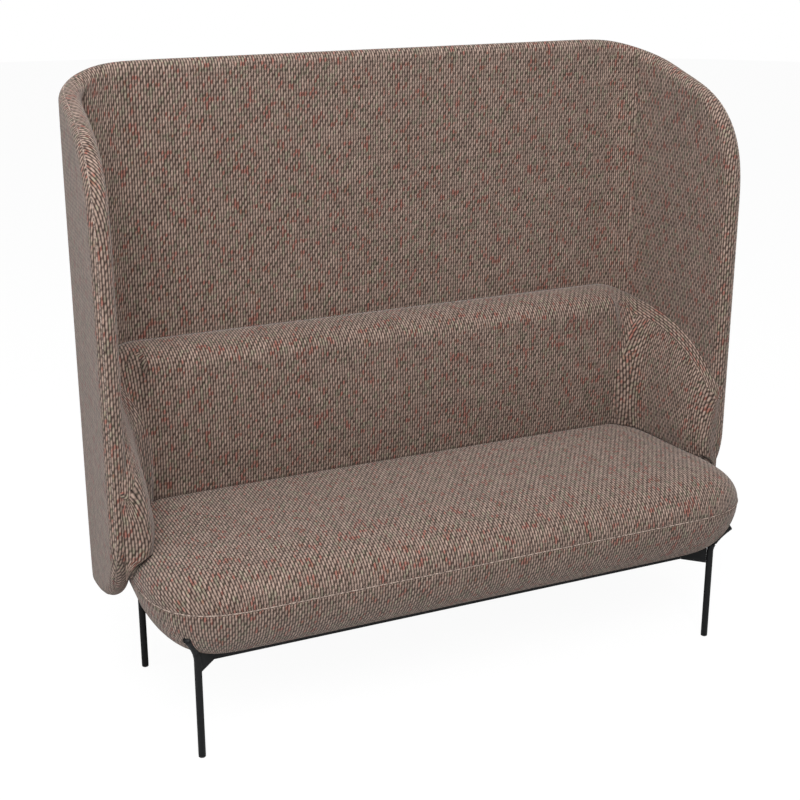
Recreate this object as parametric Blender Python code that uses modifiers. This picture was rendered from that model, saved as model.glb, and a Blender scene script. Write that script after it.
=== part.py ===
"""High-backed two-seater sofa on a slim steel frame, in metres, +Z up.

The origin is on the floor, under the middle of the sofa. The sofa faces -Y and +X is to its right
as seen from the front. Upholstered pieces are nested layers: a wooden core, foam round it and
fabric covers round the foam, each drawn from the same surface at its own depth.
"""
import math

import bmesh
import bpy
from mathutils import Vector

# Overall
DEPTH = 0.6454                # front of the seat's seam to the back of the shell
SEAT_BOTTOM = 0.2208          # floor to the seat's flat underside
FIT_GAP = 0.0003              # clearance between touching pieces
FABRIC = 0.0022               # thickness of the upholstery fabric

# High shell: a back and two wings, drawn by the middle line of its thickness
SHELL_THICKNESS = 0.0447
SHELL_HEIGHT = 1.398
SHELL_LIFT = 0.0102           # seat's underside to the shell's lower edge
SHELL_FRONT_WIDTH = 1.556     # outside, across the front of the wings
WING_SPLAY = math.radians(4.32)
WING_REACH = 0.398            # middle line of the back to the wing's front edge, along the wing
CORNER_RADIUS = 0.124         # of the middle line, in plan
CORE_THICKNESS = 0.012
WING_TOP_FALL = 0.317         # fall of the wing's top edge for each metre forward
WING_FALL_START = 0.0267      # distance round the corner over which that fall begins
WING_TOP_LENGTH = 0.214       # of the rounded corner at the wing's top
WING_TOP_HEIGHT = 0.384
WING_TOP_EXPONENT = 3.27
WING_FOOT_LENGTH = 0.4235     # of the rounded corner at the wing's foot
WING_FOOT_HEIGHT = 0.245
WING_FOOT_EXPONENT = 2.38
SEAM_ANGLE = math.radians(45) # the seam lies round the rim, towards the outside

# Seat: a bun-shaped cushion with a seam round its widest line
SEAT_BELOW_SEAM = 0.1392
SEAT_ABOVE_SEAM = 0.0713
SEAT_CROWN = 0.005
SEAT_CORNER_DEPTH = 0.2213    # of the front corners, in plan
SEAT_CORNER_EXPONENT = 2.9
SEAT_CORNER_SQUARING = 37.0   # that exponent grows by this times the inset to the power 1.5
SHOULDER_INSET = 0.104        # of the flat top from the seam
SHOULDER_EXPONENT = 2.12
UNDERCUT_INSET = 0.148        # of the flat underside from the seam
UNDERCUT_EXPONENT = 2.02
SEAT_SIDE_GAP = 0.0005
PIPING_RADIUS = 0.003
BOARD_THICKNESS = 0.015
COVER_TUCK = 0.035            # width of fabric turned in under the board

# Low back and arms: one pad that lines the shell above the seat
PAD_BACK_DEPTH = 0.115
PAD_FOLD_DEPTH = 0.095        # thickness of the arms where they leave the back
PAD_ARM_DEPTH = 0.052
PAD_ARM_SLIMMING = 0.10       # share of the arm over which it slims
PAD_RISE = 0.3487             # seat's flat top to the back's crease
PAD_ARM_DROP = 0.038          # back's crease to the arms' crease at the corner
PAD_ARM_FALL = 0.292          # fall of the arm's crease from the corner to past its front
PAD_FALL_EXPONENT = 2.4
PAD_FALL_MARGIN = 0.023       # front of the arm to where that fall would end
PAD_PROUD = 0.009             # front of the arm beyond the wing
PAD_BACK_EDGE = 0.055         # height of the rounding over the crease, on the back and on the arms
PAD_ARM_EDGE = 0.160
PAD_EDGE_EXPONENT = 2.4       # squareness of that rounding, on the back and on the arms
PAD_ARM_EXPONENT = 1.5
PAD_NOSE_LENGTH = 0.085       # rounding of the arm's front, in plan
PAD_NOSE_EXPONENT = 2.3
PAD_NOSE_BLUNT = 0.36         # share of the arm's thickness left at its front
PAD_SEAT_GAP = 0.0030
PAD_FOLD_RADIUS = 0.012
PAD_CROWN = 0.006
PAD_LAP = 0.008               # cover turned over the pad's rear edge

# Steel frame
LEG_RADIUS = 0.008
LEG_SIDE_SETBACK = 0.1307     # outside of the shell's front to the leg's axis
LEG_FRONT_SETBACK = 0.0886    # front of the seam to the front legs
LEG_REAR_SETBACK = 0.1222     # back of the shell to the rear legs
LEG_BEND_ABOVE = 0.009        # seat's underside to where the bend starts
LEG_BEND_REACH = 0.0425
LEG_BEND_RISE = 0.0676
GLIDE_HEIGHT = 0.004
GLIDE_EDGE = 0.001            # bevel round the glide's foot
RAIL_INSET = 0.049            # leg axis to the rails' outer faces
RAIL_HEIGHT = 0.025
RAIL_WIDTH = 0.015
RAIL_WALL = 0.002
PLATE_THICKNESS = 0.003
PLATE_RISE = 0.050            # rails' top to the top of the plates, before the seat cuts them off
CROSSBAR_WIDTH = 0.030
CROSSBAR_THICKNESS = 0.005
CROSSBAR_SPACING = 0.560
SCREW_SETBACK = 0.0683        # rail's outer face to the nearest seat screws
SCREW_RADIUS = 0.003
SCREW_HEAD_RADIUS = 0.0065
SCREW_HEAD_HEIGHT = 0.0035
SCREW_GRIP = 0.011            # depth of a screw in the wood
HOLE_CLEARANCE = 0.0004
BRACKET_WIDTH = 0.040
BRACKET_THICKNESS = 0.005
BRACKET_SPACING = 0.700
BRACKET_FOOT = 0.020          # length of the flat foot on the rear rail
BRACKET_DROP = 0.0085         # rail's top to the middle of the bracket's foot
BRACKET_BEND = 0.024          # shell's lower edge to the upper bend
BRACKET_RISE = 0.067          # shell's lower edge to the bracket's end
BRACKET_SCREW_RISE = 0.045    # shell's lower edge to the screws
BRACKET_SCREW_SPACING = 0.024

# Facets
ARC_STEPS = 5
RIM_STEP = math.radians(22.5)
ANGLE_TOLERANCE = math.radians(3)            # a rim facet narrower than this is left out
WING_STEPS = 8
SHEET_ROWS = 4
SECTION_STEPS = 5
SEAT_CORNER_STEPS = 8
PAD_EDGE_STEPS = 5
LEG_BEND_STEPS = 6
LEG_BEND_EXPONENT = 1.6
ROUND_SIDES = 12
PAD_UNDERSIDE = (1.0, 0.8, 0.6, 0.4, 0.2, 0.09)     # shares of the pad's depth, from its front
SHARP_EDGE = 1.6              # the pad's sharp crease moves this much further than its faces

# Worked out from the sizes above
SHELL_BOTTOM = SEAT_BOTTOM + SHELL_LIFT
SEAM_HEIGHT = SEAT_BOTTOM + SEAT_BELOW_SEAM
SEAT_TOP = SEAM_HEIGHT + SEAT_ABOVE_SEAM
PAD_HEIGHT = SEAT_TOP + PAD_RISE
PAD_ARM_HEIGHT = PAD_HEIGHT - PAD_ARM_DROP
PAD_REACH = WING_REACH + PAD_PROUD
HALF_SHELL = SHELL_THICKNESS / 2
BACK_LINE_Y = DEPTH / 2 - HALF_SHELL
WING_DIR = Vector((math.sin(WING_SPLAY), -math.cos(WING_SPLAY), 0.0))
WING_OUT = Vector((math.cos(WING_SPLAY), math.sin(WING_SPLAY), 0.0))
CORNER_X = SHELL_FRONT_WIDTH / 2 - HALF_SHELL / WING_OUT.x - (WING_REACH - HALF_SHELL) * WING_DIR.x
TURN = math.pi / 2 - WING_SPLAY
PIPING_PROUD = PIPING_RADIUS - FABRIC
FRONT_Y = -DEPTH / 2 + PIPING_RADIUS + PIPING_PROUD
LEG_X = SHELL_FRONT_WIDTH / 2 - LEG_SIDE_SETBACK
LEG_FRONT_Y = -DEPTH / 2 + LEG_FRONT_SETBACK
LEG_REAR_Y = DEPTH / 2 - LEG_REAR_SETBACK
LEG_BEND_HEIGHT = SEAT_BOTTOM + LEG_BEND_ABOVE
RAIL_TOP = SEAT_BOTTOM - FIT_GAP
RAIL_BOTTOM = RAIL_TOP - RAIL_HEIGHT
RAIL_END_X = LEG_X - RAIL_INSET
RAIL_FRONT_Y = LEG_FRONT_Y + RAIL_INSET
RAIL_REAR_Y = LEG_REAR_Y - RAIL_INSET
BOARD_BOTTOM = SEAT_BOTTOM + FABRIC + FIT_GAP
BOARD_TOP = BOARD_BOTTOM + BOARD_THICKNESS
INNER_DEPTH = HALF_SHELL + SEAT_SIDE_GAP     # middle line of the shell to the seat's widest line

PALETTE = {
    "fabric": ((0.185, 0.135, 0.112), 0.92, 0.0),
    "steel": ((0.012, 0.013, 0.015), 0.45, 0.6),
    "glide": ((0.015, 0.015, 0.016), 0.60, 0.0),
    "foam": ((0.80, 0.76, 0.62), 0.95, 0.0),
    "plywood": ((0.58, 0.40, 0.22), 0.70, 0.0),
    "lining": ((0.030, 0.030, 0.032), 0.95, 0.0),
    "zinc": ((0.55, 0.56, 0.58), 0.35, 1.0),
}


def clear_scene():
    """Remove everything that the scene opens with."""
    for item in list(bpy.data.objects):
        bpy.data.objects.remove(item, do_unlink=True)


def make_collection(name):
    group = bpy.data.collections.new(name)
    bpy.context.scene.collection.children.link(group)
    return group


def make_material(name):
    colour, roughness, metallic = PALETTE[name]
    found = bpy.data.materials.get(name)
    if found:
        return found
    made = bpy.data.materials.new(name)
    made.use_nodes = True
    shader = made.node_tree.nodes["Principled BSDF"]
    shader.inputs["Base Color"].default_value = (*colour, 1.0)
    shader.inputs["Roughness"].default_value = roughness
    shader.inputs["Metallic"].default_value = metallic
    return made


def place(name, mesh, material, smooth=True):
    """Make an object of the mesh, in the sofa's collection."""
    mesh.name = name
    piece = bpy.data.objects.new(name, mesh)
    SOFA.objects.link(piece)
    mesh.materials.clear()
    mesh.materials.append(make_material(material))
    if smooth:
        mesh.shade_smooth()
        mesh.set_sharp_from_angle(angle=math.radians(40))
    return piece


def as_cutter(piece):
    """Move an object to the cutters and keep it out of sight."""
    SOFA.objects.unlink(piece)
    CUTTERS.objects.link(piece)
    piece.hide_render = True
    piece.display_type = "WIRE"
    return piece


def thicken(piece, thickness):
    """Give an open surface a thickness on its inner side."""
    wall = piece.modifiers.new("wall", "SOLIDIFY")
    wall.thickness = thickness
    wall.offset = -1.0
    return piece


def grow(piece, distance):
    """Move a closed surface outwards."""
    shift = piece.modifiers.new("grow", "DISPLACE")
    shift.mid_level = 0.0
    shift.strength = distance
    return piece


def cut(piece, cutter):
    hole = piece.modifiers.new("cut_" + cutter.name, "BOOLEAN")
    hole.operation = "DIFFERENCE"
    hole.solver = "EXACT"
    hole.object = cutter


def mesh_from_strips(strips, first_cap=False, last_cap=False, skip=(), flip=False):
    """Skin closed rings of equal length in order, leaving out the ring segments in skip."""
    build = bmesh.new()
    rings = [[build.verts.new(point) for point in strip] for strip in strips]
    count = len(rings[0])
    for lower, upper in zip(rings, rings[1:]):
        for k in range(count):
            if k not in skip:
                after = (k + 1) % count
                build.faces.new((lower[k], lower[after], upper[after], upper[k]))
    if first_cap:
        build.faces.new(rings[0][::-1])
    if last_cap:
        build.faces.new(rings[-1])
    build.normal_update()
    bmesh.ops.triangulate(build, faces=[face for face in build.faces if len(face.verts) > 4])
    bmesh.ops.delete(build, geom=[vert for vert in build.verts if not vert.link_faces], context="VERTS")
    if flip:
        bmesh.ops.reverse_faces(build, faces=build.faces)
    mesh = bpy.data.meshes.new("strips")
    build.to_mesh(mesh)
    build.free()
    return mesh


def rounding(t, exponent):
    """A superellipse's quarter: across and up, each from 0 to 1, for t from 0 to a right angle."""
    return 1.0 - math.cos(t) ** (2 / exponent), math.sin(t) ** (2 / exponent)


def quarter(steps):
    return [math.pi / 2 * k / steps for k in range(steps + 1)]


# Plan of the shell and of what lines it

def corner_centre(depth):
    """Centre of the rear corner's arc for a line that runs depth inside the middle line."""
    reach = max(depth + PAD_FOLD_RADIUS, CORNER_RADIUS)
    along = reach * (1 - WING_DIR.x) / WING_OUT.x
    x = CORNER_X - WING_OUT.x * reach + WING_DIR.x * along
    return Vector((x, BACK_LINE_Y - reach, 0.0)), reach - depth, along


def arc_normal(step):
    angle = TURN * step / ARC_STEPS
    return Vector((math.sin(angle), math.cos(angle), 0.0))


def back_point(share, depth):
    centre, _, _ = corner_centre(depth)
    return Vector((centre.x * share, BACK_LINE_Y - depth, 0.0))


def arc_point(step, depth):
    centre, radius, _ = corner_centre(depth)
    return centre + arc_normal(step) * radius


def wing_point(share, depth, reach):
    """Point on the wing, share of the way from the corner's arc to reach."""
    _, _, along = corner_centre(depth)
    distance = along + (reach - along) * share
    return Vector((CORNER_X, BACK_LINE_Y, 0.0)) - WING_OUT * depth + WING_DIR * distance


ARC_ALONG = corner_centre(0.0)[2]
ARC_LENGTH = CORNER_RADIUS * TURN
SHEET_REACH = WING_REACH - HALF_SHELL        # where the wing's flat part ends and its rim begins


# High shell

def shell_columns():
    """Half of the middle line, from its middle: plan point, outward normal, forward direction, path."""
    centre_x = corner_centre(0.0)[0].x
    columns = []
    for share in (0.0, 0.5):
        columns.append((back_point(share, 0.0), Vector((0, 1, 0)), Vector((1, 0, 0)), centre_x * share))
    for step in range(ARC_STEPS + 1):
        normal = arc_normal(step)
        forward = Vector((normal.y, -normal.x, 0))
        path = centre_x + ARC_LENGTH * step / ARC_STEPS
        columns.append((arc_point(step, 0.0), normal, forward, path))
    for step in range(1, WING_STEPS + 1):
        share = math.sin(math.pi / 2 * step / WING_STEPS) ** 0.72
        path = centre_x + ARC_LENGTH + (SHEET_REACH - ARC_ALONG) * share
        columns.append((wing_point(share, 0.0, SHEET_REACH), WING_OUT, WING_DIR, path))
    return columns


def corner_level(to_end, length, exponent):
    """Share of a rounded corner's height that is left at a distance from the wing's front."""
    share = min(max(1 - to_end / (length - HALF_SHELL), 0.0), 1.0)
    return (1 - share ** exponent) ** (1 / exponent)


def shell_edge(path, path_end):
    """Heights of the sheet's lower and upper edge at a distance along the middle line."""
    from_corner = path - corner_centre(0.0)[0].x
    slope = math.log1p(math.exp((from_corner - WING_FALL_START) / WING_FALL_START))
    fall = WING_TOP_FALL * WING_FALL_START * slope
    level = corner_level(path_end - path, WING_TOP_LENGTH, WING_TOP_EXPONENT)
    upper = SHELL_HEIGHT - WING_TOP_HEIGHT + level * (WING_TOP_HEIGHT - HALF_SHELL - fall)
    level = corner_level(path_end - path, WING_FOOT_LENGTH, WING_FOOT_EXPONENT)
    lower = SHELL_BOTTOM + WING_FOOT_HEIGHT - level * (WING_FOOT_HEIGHT - HALF_SHELL)
    return lower, upper


def shell_sheet(rows=SHEET_ROWS):
    """The shell's middle sheet: for each column its normal, direction and points from low to high."""
    half = shell_columns()
    path_end = half[-1][3]
    sheet = []
    for side in (-1, 1):
        chosen = reversed(half[1:]) if side < 0 else half
        for plan, normal, forward, path in chosen:
            low, high = shell_edge(path, path_end)
            mirror = Vector((side, 1, 1))
            heights = [low + (high - low) * row / rows for row in range(rows + 1)]
            points = [Vector((plan.x * side, plan.y, z)) for z in heights]
            sheet.append((normal * mirror, forward * mirror * side, side * path, points))
    return sheet


def shell_loop(sheet):
    """The sheet's edge in order: column, row and outward direction within the sheet."""
    last_column = len(sheet) - 1
    last_row = len(sheet[0][3]) - 1
    keys = [(i, 0) for i in range(last_column + 1)]
    keys += [(last_column, j) for j in range(1, last_row + 1)]
    keys += [(i, last_row) for i in range(last_column - 1, -1, -1)]
    keys += [(0, j) for j in range(last_row - 1, 0, -1)]
    flat = [Vector((sheet[i][2], sheet[i][3][j].z)) for i, j in keys]
    loop = []
    for k, (i, j) in enumerate(keys):
        run = flat[(k + 1) % len(flat)] - flat[k - 1]
        out = Vector((run.y, -run.x)).normalized()
        loop.append((i, j, sheet[i][1] * out.x + Vector((0, 0, 1)) * out.y))
    return loop


def shell_rings(sheet, loop, radius, angles):
    """Points round the sheet's edge at a distance from it, one ring for each angle round the rim."""
    rings = []
    for angle in angles:
        ring = []
        for i, j, out in loop:
            normal, _, _, points = sheet[i]
            shift = normal * math.sin(angle) + out * math.cos(angle)
            ring.append(points[j] + shift * radius)
        rings.append(ring)
    return rings


def shell_layer(radii, side, start, end):
    """A layer of the shell: its flat face on one side and the rim between two angles.

    side is -1 towards the seat and 1 outside, and 0 makes the closed core. An angle of a right
    angle below or above zero is where the rim meets that side's flat face. All layers turn round
    the rim at the same angles, so that none of their facets meet.
    """
    sheet = shell_sheet()
    loop = shell_loop(sheet)
    half_turn = round(math.pi / 2 / RIM_STEP)
    angles = [start]
    angles += [k * RIM_STEP for k in range(-half_turn, half_turn + 1)
               if start + ANGLE_TOLERANCE < k * RIM_STEP < end - ANGLE_TOLERANCE]
    angles.append(end)
    build = bmesh.new()
    borders = []
    for radius in radii:
        inside_out = radius != radii[0]
        rings = [[build.verts.new(p) for p in ring] for ring in shell_rings(sheet, loop, radius, angles)]
        faces = []
        for inner, outer in zip(rings, rings[1:]):
            for k in range(len(loop)):
                after = (k + 1) % len(loop)
                faces.append((inner[after], inner[k], outer[k], outer[after]))
        for way in ((-1, 1) if side == 0 else (side,)):
            rim = rings[0] if way < 0 else rings[-1]
            on_rim = {(i, j): rim[k] for k, (i, j, _) in enumerate(loop)}
            grid = [[on_rim.get((i, j)) or build.verts.new(p + normal * radius * way)
                     for j, p in enumerate(points)] for i, (normal, _, _, points) in enumerate(sheet)]
            for a, b in zip(grid, grid[1:]):
                for j in range(len(a) - 1):
                    corners = (a[j], b[j], b[j + 1], a[j + 1])
                    faces.append(corners if way < 0 else corners[::-1])
        for a, b, c, d in faces:
            for triangle in ((a, b, c), (a, c, d)):
                build.faces.new(triangle[::-1] if inside_out else triangle)
        borders.append(rings[-1] if side < 0 else rings[0])
    if len(borders) == 2:
        outer, inner = borders if side < 0 else borders[::-1]
        for k in range(len(loop)):
            after = (k + 1) % len(loop)
            build.faces.new((outer[after], outer[k], inner[k], inner[after]))
    mesh = bpy.data.meshes.new("layer")
    build.to_mesh(mesh)
    build.free()
    return mesh


def build_shell():
    """The shell's layers, from the wooden core out to the two covers."""
    right = math.pi / 2
    core = CORE_THICKNESS / 2
    foam = (HALF_SHELL - FABRIC - FIT_GAP, core + FIT_GAP)
    cover = (HALF_SHELL, HALF_SHELL - FABRIC)
    foam_split = FIT_GAP / foam[1]
    cover_split = FIT_GAP / cover[1]
    seam = SEAM_ANGLE
    place("shell_core", shell_layer((core,), 0, -right, right), "plywood")
    place("shell_inner_foam", shell_layer(foam, -1, -right, -foam_split), "foam")
    place("shell_outer_foam", shell_layer(foam, 1, foam_split, right), "foam")
    place("shell_inner_cover", shell_layer(cover, -1, -right, seam - cover_split), "fabric")
    place("shell_outer_cover", shell_layer(cover, 1, seam + cover_split, right), "fabric")


# Seat

def offset_profile(profile, distance):
    """Move a section line sideways, to its right as it is drawn."""
    moved = []
    for k, (u, v) in enumerate(profile):
        before = profile[max(k - 1, 0)]
        after = profile[min(k + 1, len(profile) - 1)]
        run_u, run_v = after[0] - before[0], after[1] - before[1]
        length = math.hypot(run_u, run_v)
        moved.append((u + distance * run_v / length, v - distance * run_u / length))
    return moved


def seat_loop(inset):
    """The seat's outline in plan, inset from its widest line, clockwise from the back's middle."""
    depth = INNER_DEPTH + inset
    side_front = FRONT_Y + SEAT_CORNER_DEPTH
    reach = (BACK_LINE_Y - side_front - WING_DIR.x * INNER_DEPTH) / WING_OUT.x
    half = [back_point(share, depth) for share in (0.0, 0.5)]
    half += [arc_point(step, depth) for step in range(ARC_STEPS + 1)]
    half += [wing_point(share, depth, reach) for share in (0.35, 0.7, 1.0)]
    start = half[-1]
    exponent = SEAT_CORNER_EXPONENT + SEAT_CORNER_SQUARING * max(inset, 0.0) ** 1.5
    for t in quarter(SEAT_CORNER_STEPS)[1:]:
        across, along = rounding(t, exponent)
        radius = SEAT_CORNER_DEPTH - inset
        half.append(Vector((start.x - radius * across, start.y - radius * along, 0.0)))
    front = half[-1]
    half += [Vector((front.x * share, front.y, 0.0)) for share in (0.55, 0.0)]
    mirrored = [Vector((-p.x, p.y, 0.0)) for p in reversed(half[1:-1])]
    return half + mirrored


def seat_shoulder():
    """Section over the seam: inset and height, from the seam up to the flat top."""
    steps = [rounding(t, SHOULDER_EXPONENT) for t in quarter(SECTION_STEPS)]
    return [(SHOULDER_INSET * across, SEAM_HEIGHT + SEAT_ABOVE_SEAM * up) for across, up in steps]


def seat_undercut():
    """Section under the seam: inset and height, from the seam down to the flat bottom."""
    steps = [rounding(t, UNDERCUT_EXPONENT) for t in quarter(SECTION_STEPS)]
    return [(UNDERCUT_INSET * across, SEAM_HEIGHT - SEAT_BELOW_SEAM * down) for across, down in steps]


def seat_height(inset):
    """Height of the seat's top over a point that lies inset from its widest line."""
    share = min(max(1 - inset / SHOULDER_INSET, 0.0), 1.0)
    level = (1 - share ** SHOULDER_EXPONENT) ** (1 / SHOULDER_EXPONENT)
    return SEAM_HEIGHT + SEAT_ABOVE_SEAM * level


def ring_at(inset, height):
    return [Vector((p.x, p.y, height)) for p in seat_loop(inset)]


def crown_rings(inset, height):
    """Rings that close the seat's top over its middle, rising to the crown."""
    outer = ring_at(inset, height)
    middle_y = (max(p.y for p in outer) + min(p.y for p in outer)) / 2
    rings = []
    for share, rise in ((0.62, 0.7), (0.22, 1.0)):
        rings.append([Vector((p.x * share, middle_y + (p.y - middle_y) * share,
                              height + SEAT_CROWN * rise)) for p in outer])
    return rings


def build_seat():
    """The seat's covers, foam, board and dust cover, and the space that it takes up, as a cutter."""
    shoulder = seat_shoulder()
    undercut = seat_undercut()
    split = PIPING_RADIUS + FIT_GAP
    upper = [(u, v + split * (1 - k / SECTION_STEPS) ** 2) for k, (u, v) in enumerate(shoulder)]
    lower = [(u, v - split * (1 - k / SECTION_STEPS) ** 2) for k, (u, v) in enumerate(undercut)]
    top = [ring_at(u, v) for u, v in upper] + crown_rings(*upper[-1])
    thicken(place("seat_top_cover", mesh_from_strips(top, last_cap=True, flip=True), "fabric"), FABRIC)
    tuck = UNDERCUT_INSET + COVER_TUCK
    under = [ring_at(u, v) for u, v in lower] + [ring_at(tuck, SEAT_BOTTOM)]
    thicken(place("seat_lower_cover", mesh_from_strips(under), "fabric"), FABRIC)

    layer = FABRIC + FIT_GAP
    foam_top = offset_profile(shoulder, layer)
    foam_low = offset_profile(undercut, -layer)
    recess = UNDERCUT_INSET + layer
    rings = [ring_at(recess, BOARD_TOP + FIT_GAP), ring_at(recess, BOARD_BOTTOM)]
    rings += [ring_at(u, max(v, BOARD_BOTTOM)) for u, v in reversed(foam_low[:-1])]
    rings += [ring_at(u, v) for u, v in foam_top[1:]] + crown_rings(*foam_top[-1])
    closed = {"first_cap": True, "last_cap": True, "flip": True}
    place("seat_foam", mesh_from_strips(rings, **closed), "foam")

    edge = recess + FIT_GAP
    board = [ring_at(edge, BOARD_BOTTOM), ring_at(edge, BOARD_TOP)]
    place("seat_board", mesh_from_strips(board, **closed), "plywood", smooth=False)
    sheet = [ring_at(tuck + FIT_GAP, SEAT_BOTTOM), ring_at(tuck + FIT_GAP, SEAT_BOTTOM + FABRIC)]
    place("seat_dust_cover", mesh_from_strips(sheet, **closed), "lining", smooth=False)

    whole = [ring_at(u, v) for u, v in reversed(lower)] + [ring_at(u, v) for u, v in upper]
    envelope = place("seat_envelope", mesh_from_strips(whole, **closed), "fabric")
    return as_cutter(grow(envelope, FIT_GAP))


def build_piping():
    """The cord in the seam, along the part of the seat that stands in front of the shell."""
    loop = seat_loop(-PIPING_PROUD)
    front_limit = wing_point(1.0, 0.0, WING_REACH).y - 2 * PIPING_RADIUS
    path = [p for p in loop if p.y < front_limit]
    data = bpy.data.curves.new("seat_piping", "CURVE")
    data.dimensions = "3D"
    data.bevel_depth = PIPING_RADIUS
    data.bevel_resolution = 2
    data.use_fill_caps = True
    line = data.splines.new("POLY")
    line.points.add(len(path) - 1)
    for point, spot in zip(line.points, path):
        point.co = (spot.x, spot.y, SEAM_HEIGHT, 1.0)
    curve_to_piece("seat_piping", data, "fabric")


def curve_to_piece(name, data, material):
    """Turn a curve into a welded mesh piece."""
    guide = bpy.data.objects.new(name + "_guide", data)
    SOFA.objects.link(guide)
    bpy.context.view_layer.update()
    evaluated = guide.evaluated_get(bpy.context.evaluated_depsgraph_get())
    mesh = bpy.data.meshes.new_from_object(evaluated)
    build = bmesh.new()
    build.from_mesh(mesh)
    bmesh.ops.remove_doubles(build, verts=build.verts, dist=0.00001)
    bmesh.ops.recalc_face_normals(build, faces=build.faces)
    build.to_mesh(mesh)
    build.free()
    bpy.data.objects.remove(guide, do_unlink=True)
    return place(name, mesh, material)


# Low back and arms

def pad_fold():
    """Centre of the small fillet where the back's face meets the arm's, and its place on the wing."""
    back = HALF_SHELL + PAD_BACK_DEPTH + PAD_FOLD_RADIUS
    arm = HALF_SHELL + PAD_FOLD_DEPTH + PAD_FOLD_RADIUS
    along = (back - WING_DIR.x * arm) / WING_OUT.x
    x = CORNER_X - WING_OUT.x * arm + WING_DIR.x * along
    return Vector((x, BACK_LINE_Y - back, 0.0)), along


def arm_depth(share, distance):
    """Thickness of the arm: full at the fold, slimmer along the arm, and rounded off at its front."""
    fade = math.exp(-(share / PAD_ARM_SLIMMING) ** 1.3)
    slim = PAD_ARM_DEPTH + (PAD_FOLD_DEPTH - PAD_ARM_DEPTH) * fade
    nose = min(max(1 - (PAD_REACH - distance) / PAD_NOSE_LENGTH, 0.0), 1.0)
    level = (1 - nose ** PAD_NOSE_EXPONENT) ** (1 / PAD_NOSE_EXPONENT)
    return slim * (PAD_NOSE_BLUNT + (1 - PAD_NOSE_BLUNT) * level)


def arm_fall(along):
    """Share of its height that the arm's top keeps at a distance along the wing."""
    share = along / (PAD_REACH + PAD_FALL_MARGIN)
    return (1 - share ** PAD_FALL_EXPONENT) ** (1 / PAD_FALL_EXPONENT)


def pad_columns():
    """Half of the pad: rear and front plan points, crease height, and its rounding's height and exponent."""
    rear_depth = HALF_SHELL + FIT_GAP
    fold, fold_along = pad_fold()
    low = PAD_ARM_HEIGHT - PAD_ARM_FALL
    columns = []
    for share in (0.0, 0.5):
        front = Vector((fold.x * share, fold.y + PAD_FOLD_RADIUS, 0.0))
        columns.append((back_point(share, rear_depth), front, PAD_HEIGHT, PAD_BACK_EDGE, PAD_EDGE_EXPONENT))
    for step in range(ARC_STEPS + 1):
        share = step / ARC_STEPS
        front = fold + arc_normal(step) * PAD_FOLD_RADIUS
        crease = PAD_HEIGHT - PAD_ARM_DROP * (1 - math.cos(math.pi * share)) / 2
        edge = PAD_BACK_EDGE + (PAD_ARM_EDGE - PAD_BACK_EDGE) * share
        exponent = PAD_EDGE_EXPONENT + (PAD_ARM_EXPONENT - PAD_EDGE_EXPONENT) * share
        columns.append((arc_point(step, rear_depth), front, crease, edge, exponent))
    rear_along = corner_centre(rear_depth)[2]
    for step in range(1, WING_STEPS + 1):
        share = math.sin(math.pi / 2 * step / WING_STEPS)
        distance = fold_along + (PAD_REACH - fold_along) * share
        depth = HALF_SHELL + arm_depth(share, distance)
        front = Vector((CORNER_X, BACK_LINE_Y, 0.0)) - WING_OUT * depth + WING_DIR * distance
        rear = wing_point(share, rear_depth, PAD_REACH)
        along = rear_along + (PAD_REACH - rear_along) * share
        crease = low + PAD_ARM_FALL * arm_fall(along) / arm_fall(rear_along)
        columns.append((rear, front, crease, PAD_ARM_EDGE, PAD_ARM_EXPONENT))
    return columns


def pad_ring(rear, front, crease, edge, exponent, side, underside):
    """One closed section of the pad, from its rear foot up, over the top and down the front."""
    span = (front - rear).length
    foot = seat_height(span * underside[-1]) + PAD_SEAT_GAP
    middle = (foot + crease) / 2
    section = [(0.0, z) for z in (foot, foot + PAD_LAP, middle, crease - PAD_LAP, crease)]
    front_foot = seat_height(span) + PAD_SEAT_GAP
    drop = min(edge, (crease - front_foot) * 0.6)
    for t in quarter(PAD_EDGE_STEPS)[1:]:
        down, across = rounding(t, exponent)
        section.append((across, crease - drop * down))
    wall_top = crease - drop
    for share in (0.33, 0.67):
        bulge = PAD_CROWN * math.sin(math.pi * share) * min(span / PAD_ARM_DEPTH, 1.0) ** 2
        section.append((1 + bulge / span, wall_top + (front_foot - wall_top) * share))
    for share in underside:
        section.append((share, seat_height(span * share) + PAD_SEAT_GAP))
    points = []
    for share, height in section:
        spot = rear + (front - rear) * share
        points.append(Vector((spot.x * side, spot.y, height)))
    return points


def pad_rings(underside):
    """The pad's sections from left to right, with points under it at the given shares of its depth."""
    half = pad_columns()
    rings = [pad_ring(*column, -1, underside) for column in reversed(half[1:])]
    return rings + [pad_ring(*column, 1, underside) for column in half]


def build_pad():
    """The pad's foam, its cover and the liner that closes the cover at the back."""
    rings = pad_rings(PAD_UNDERSIDE)
    rear = (0, 1, 2)
    foot = len(rings[0]) - 1
    margin = FABRIC + FIT_GAP
    inner = pad_rings(PAD_UNDERSIDE[:-1])[2:-2]
    foam = mesh_from_strips(inner, first_cap=True, last_cap=True)
    grow(place("pad_foam", foam, "foam"), -margin * SHARP_EDGE)
    cover = mesh_from_strips(rings, first_cap=True, last_cap=True, skip=(*rear, foot))
    thicken(place("pad_cover", cover, "fabric"), FABRIC)
    clear = Vector((0, 0, margin))
    sheets = [[ring[1] + clear, ring[2], ring[3] - clear] for ring in rings[2:-2]]
    liner = mesh_from_strips(sheets, skip=(2,))
    thicken(place("pad_liner", liner, "lining"), FABRIC)


# Steel frame

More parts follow.
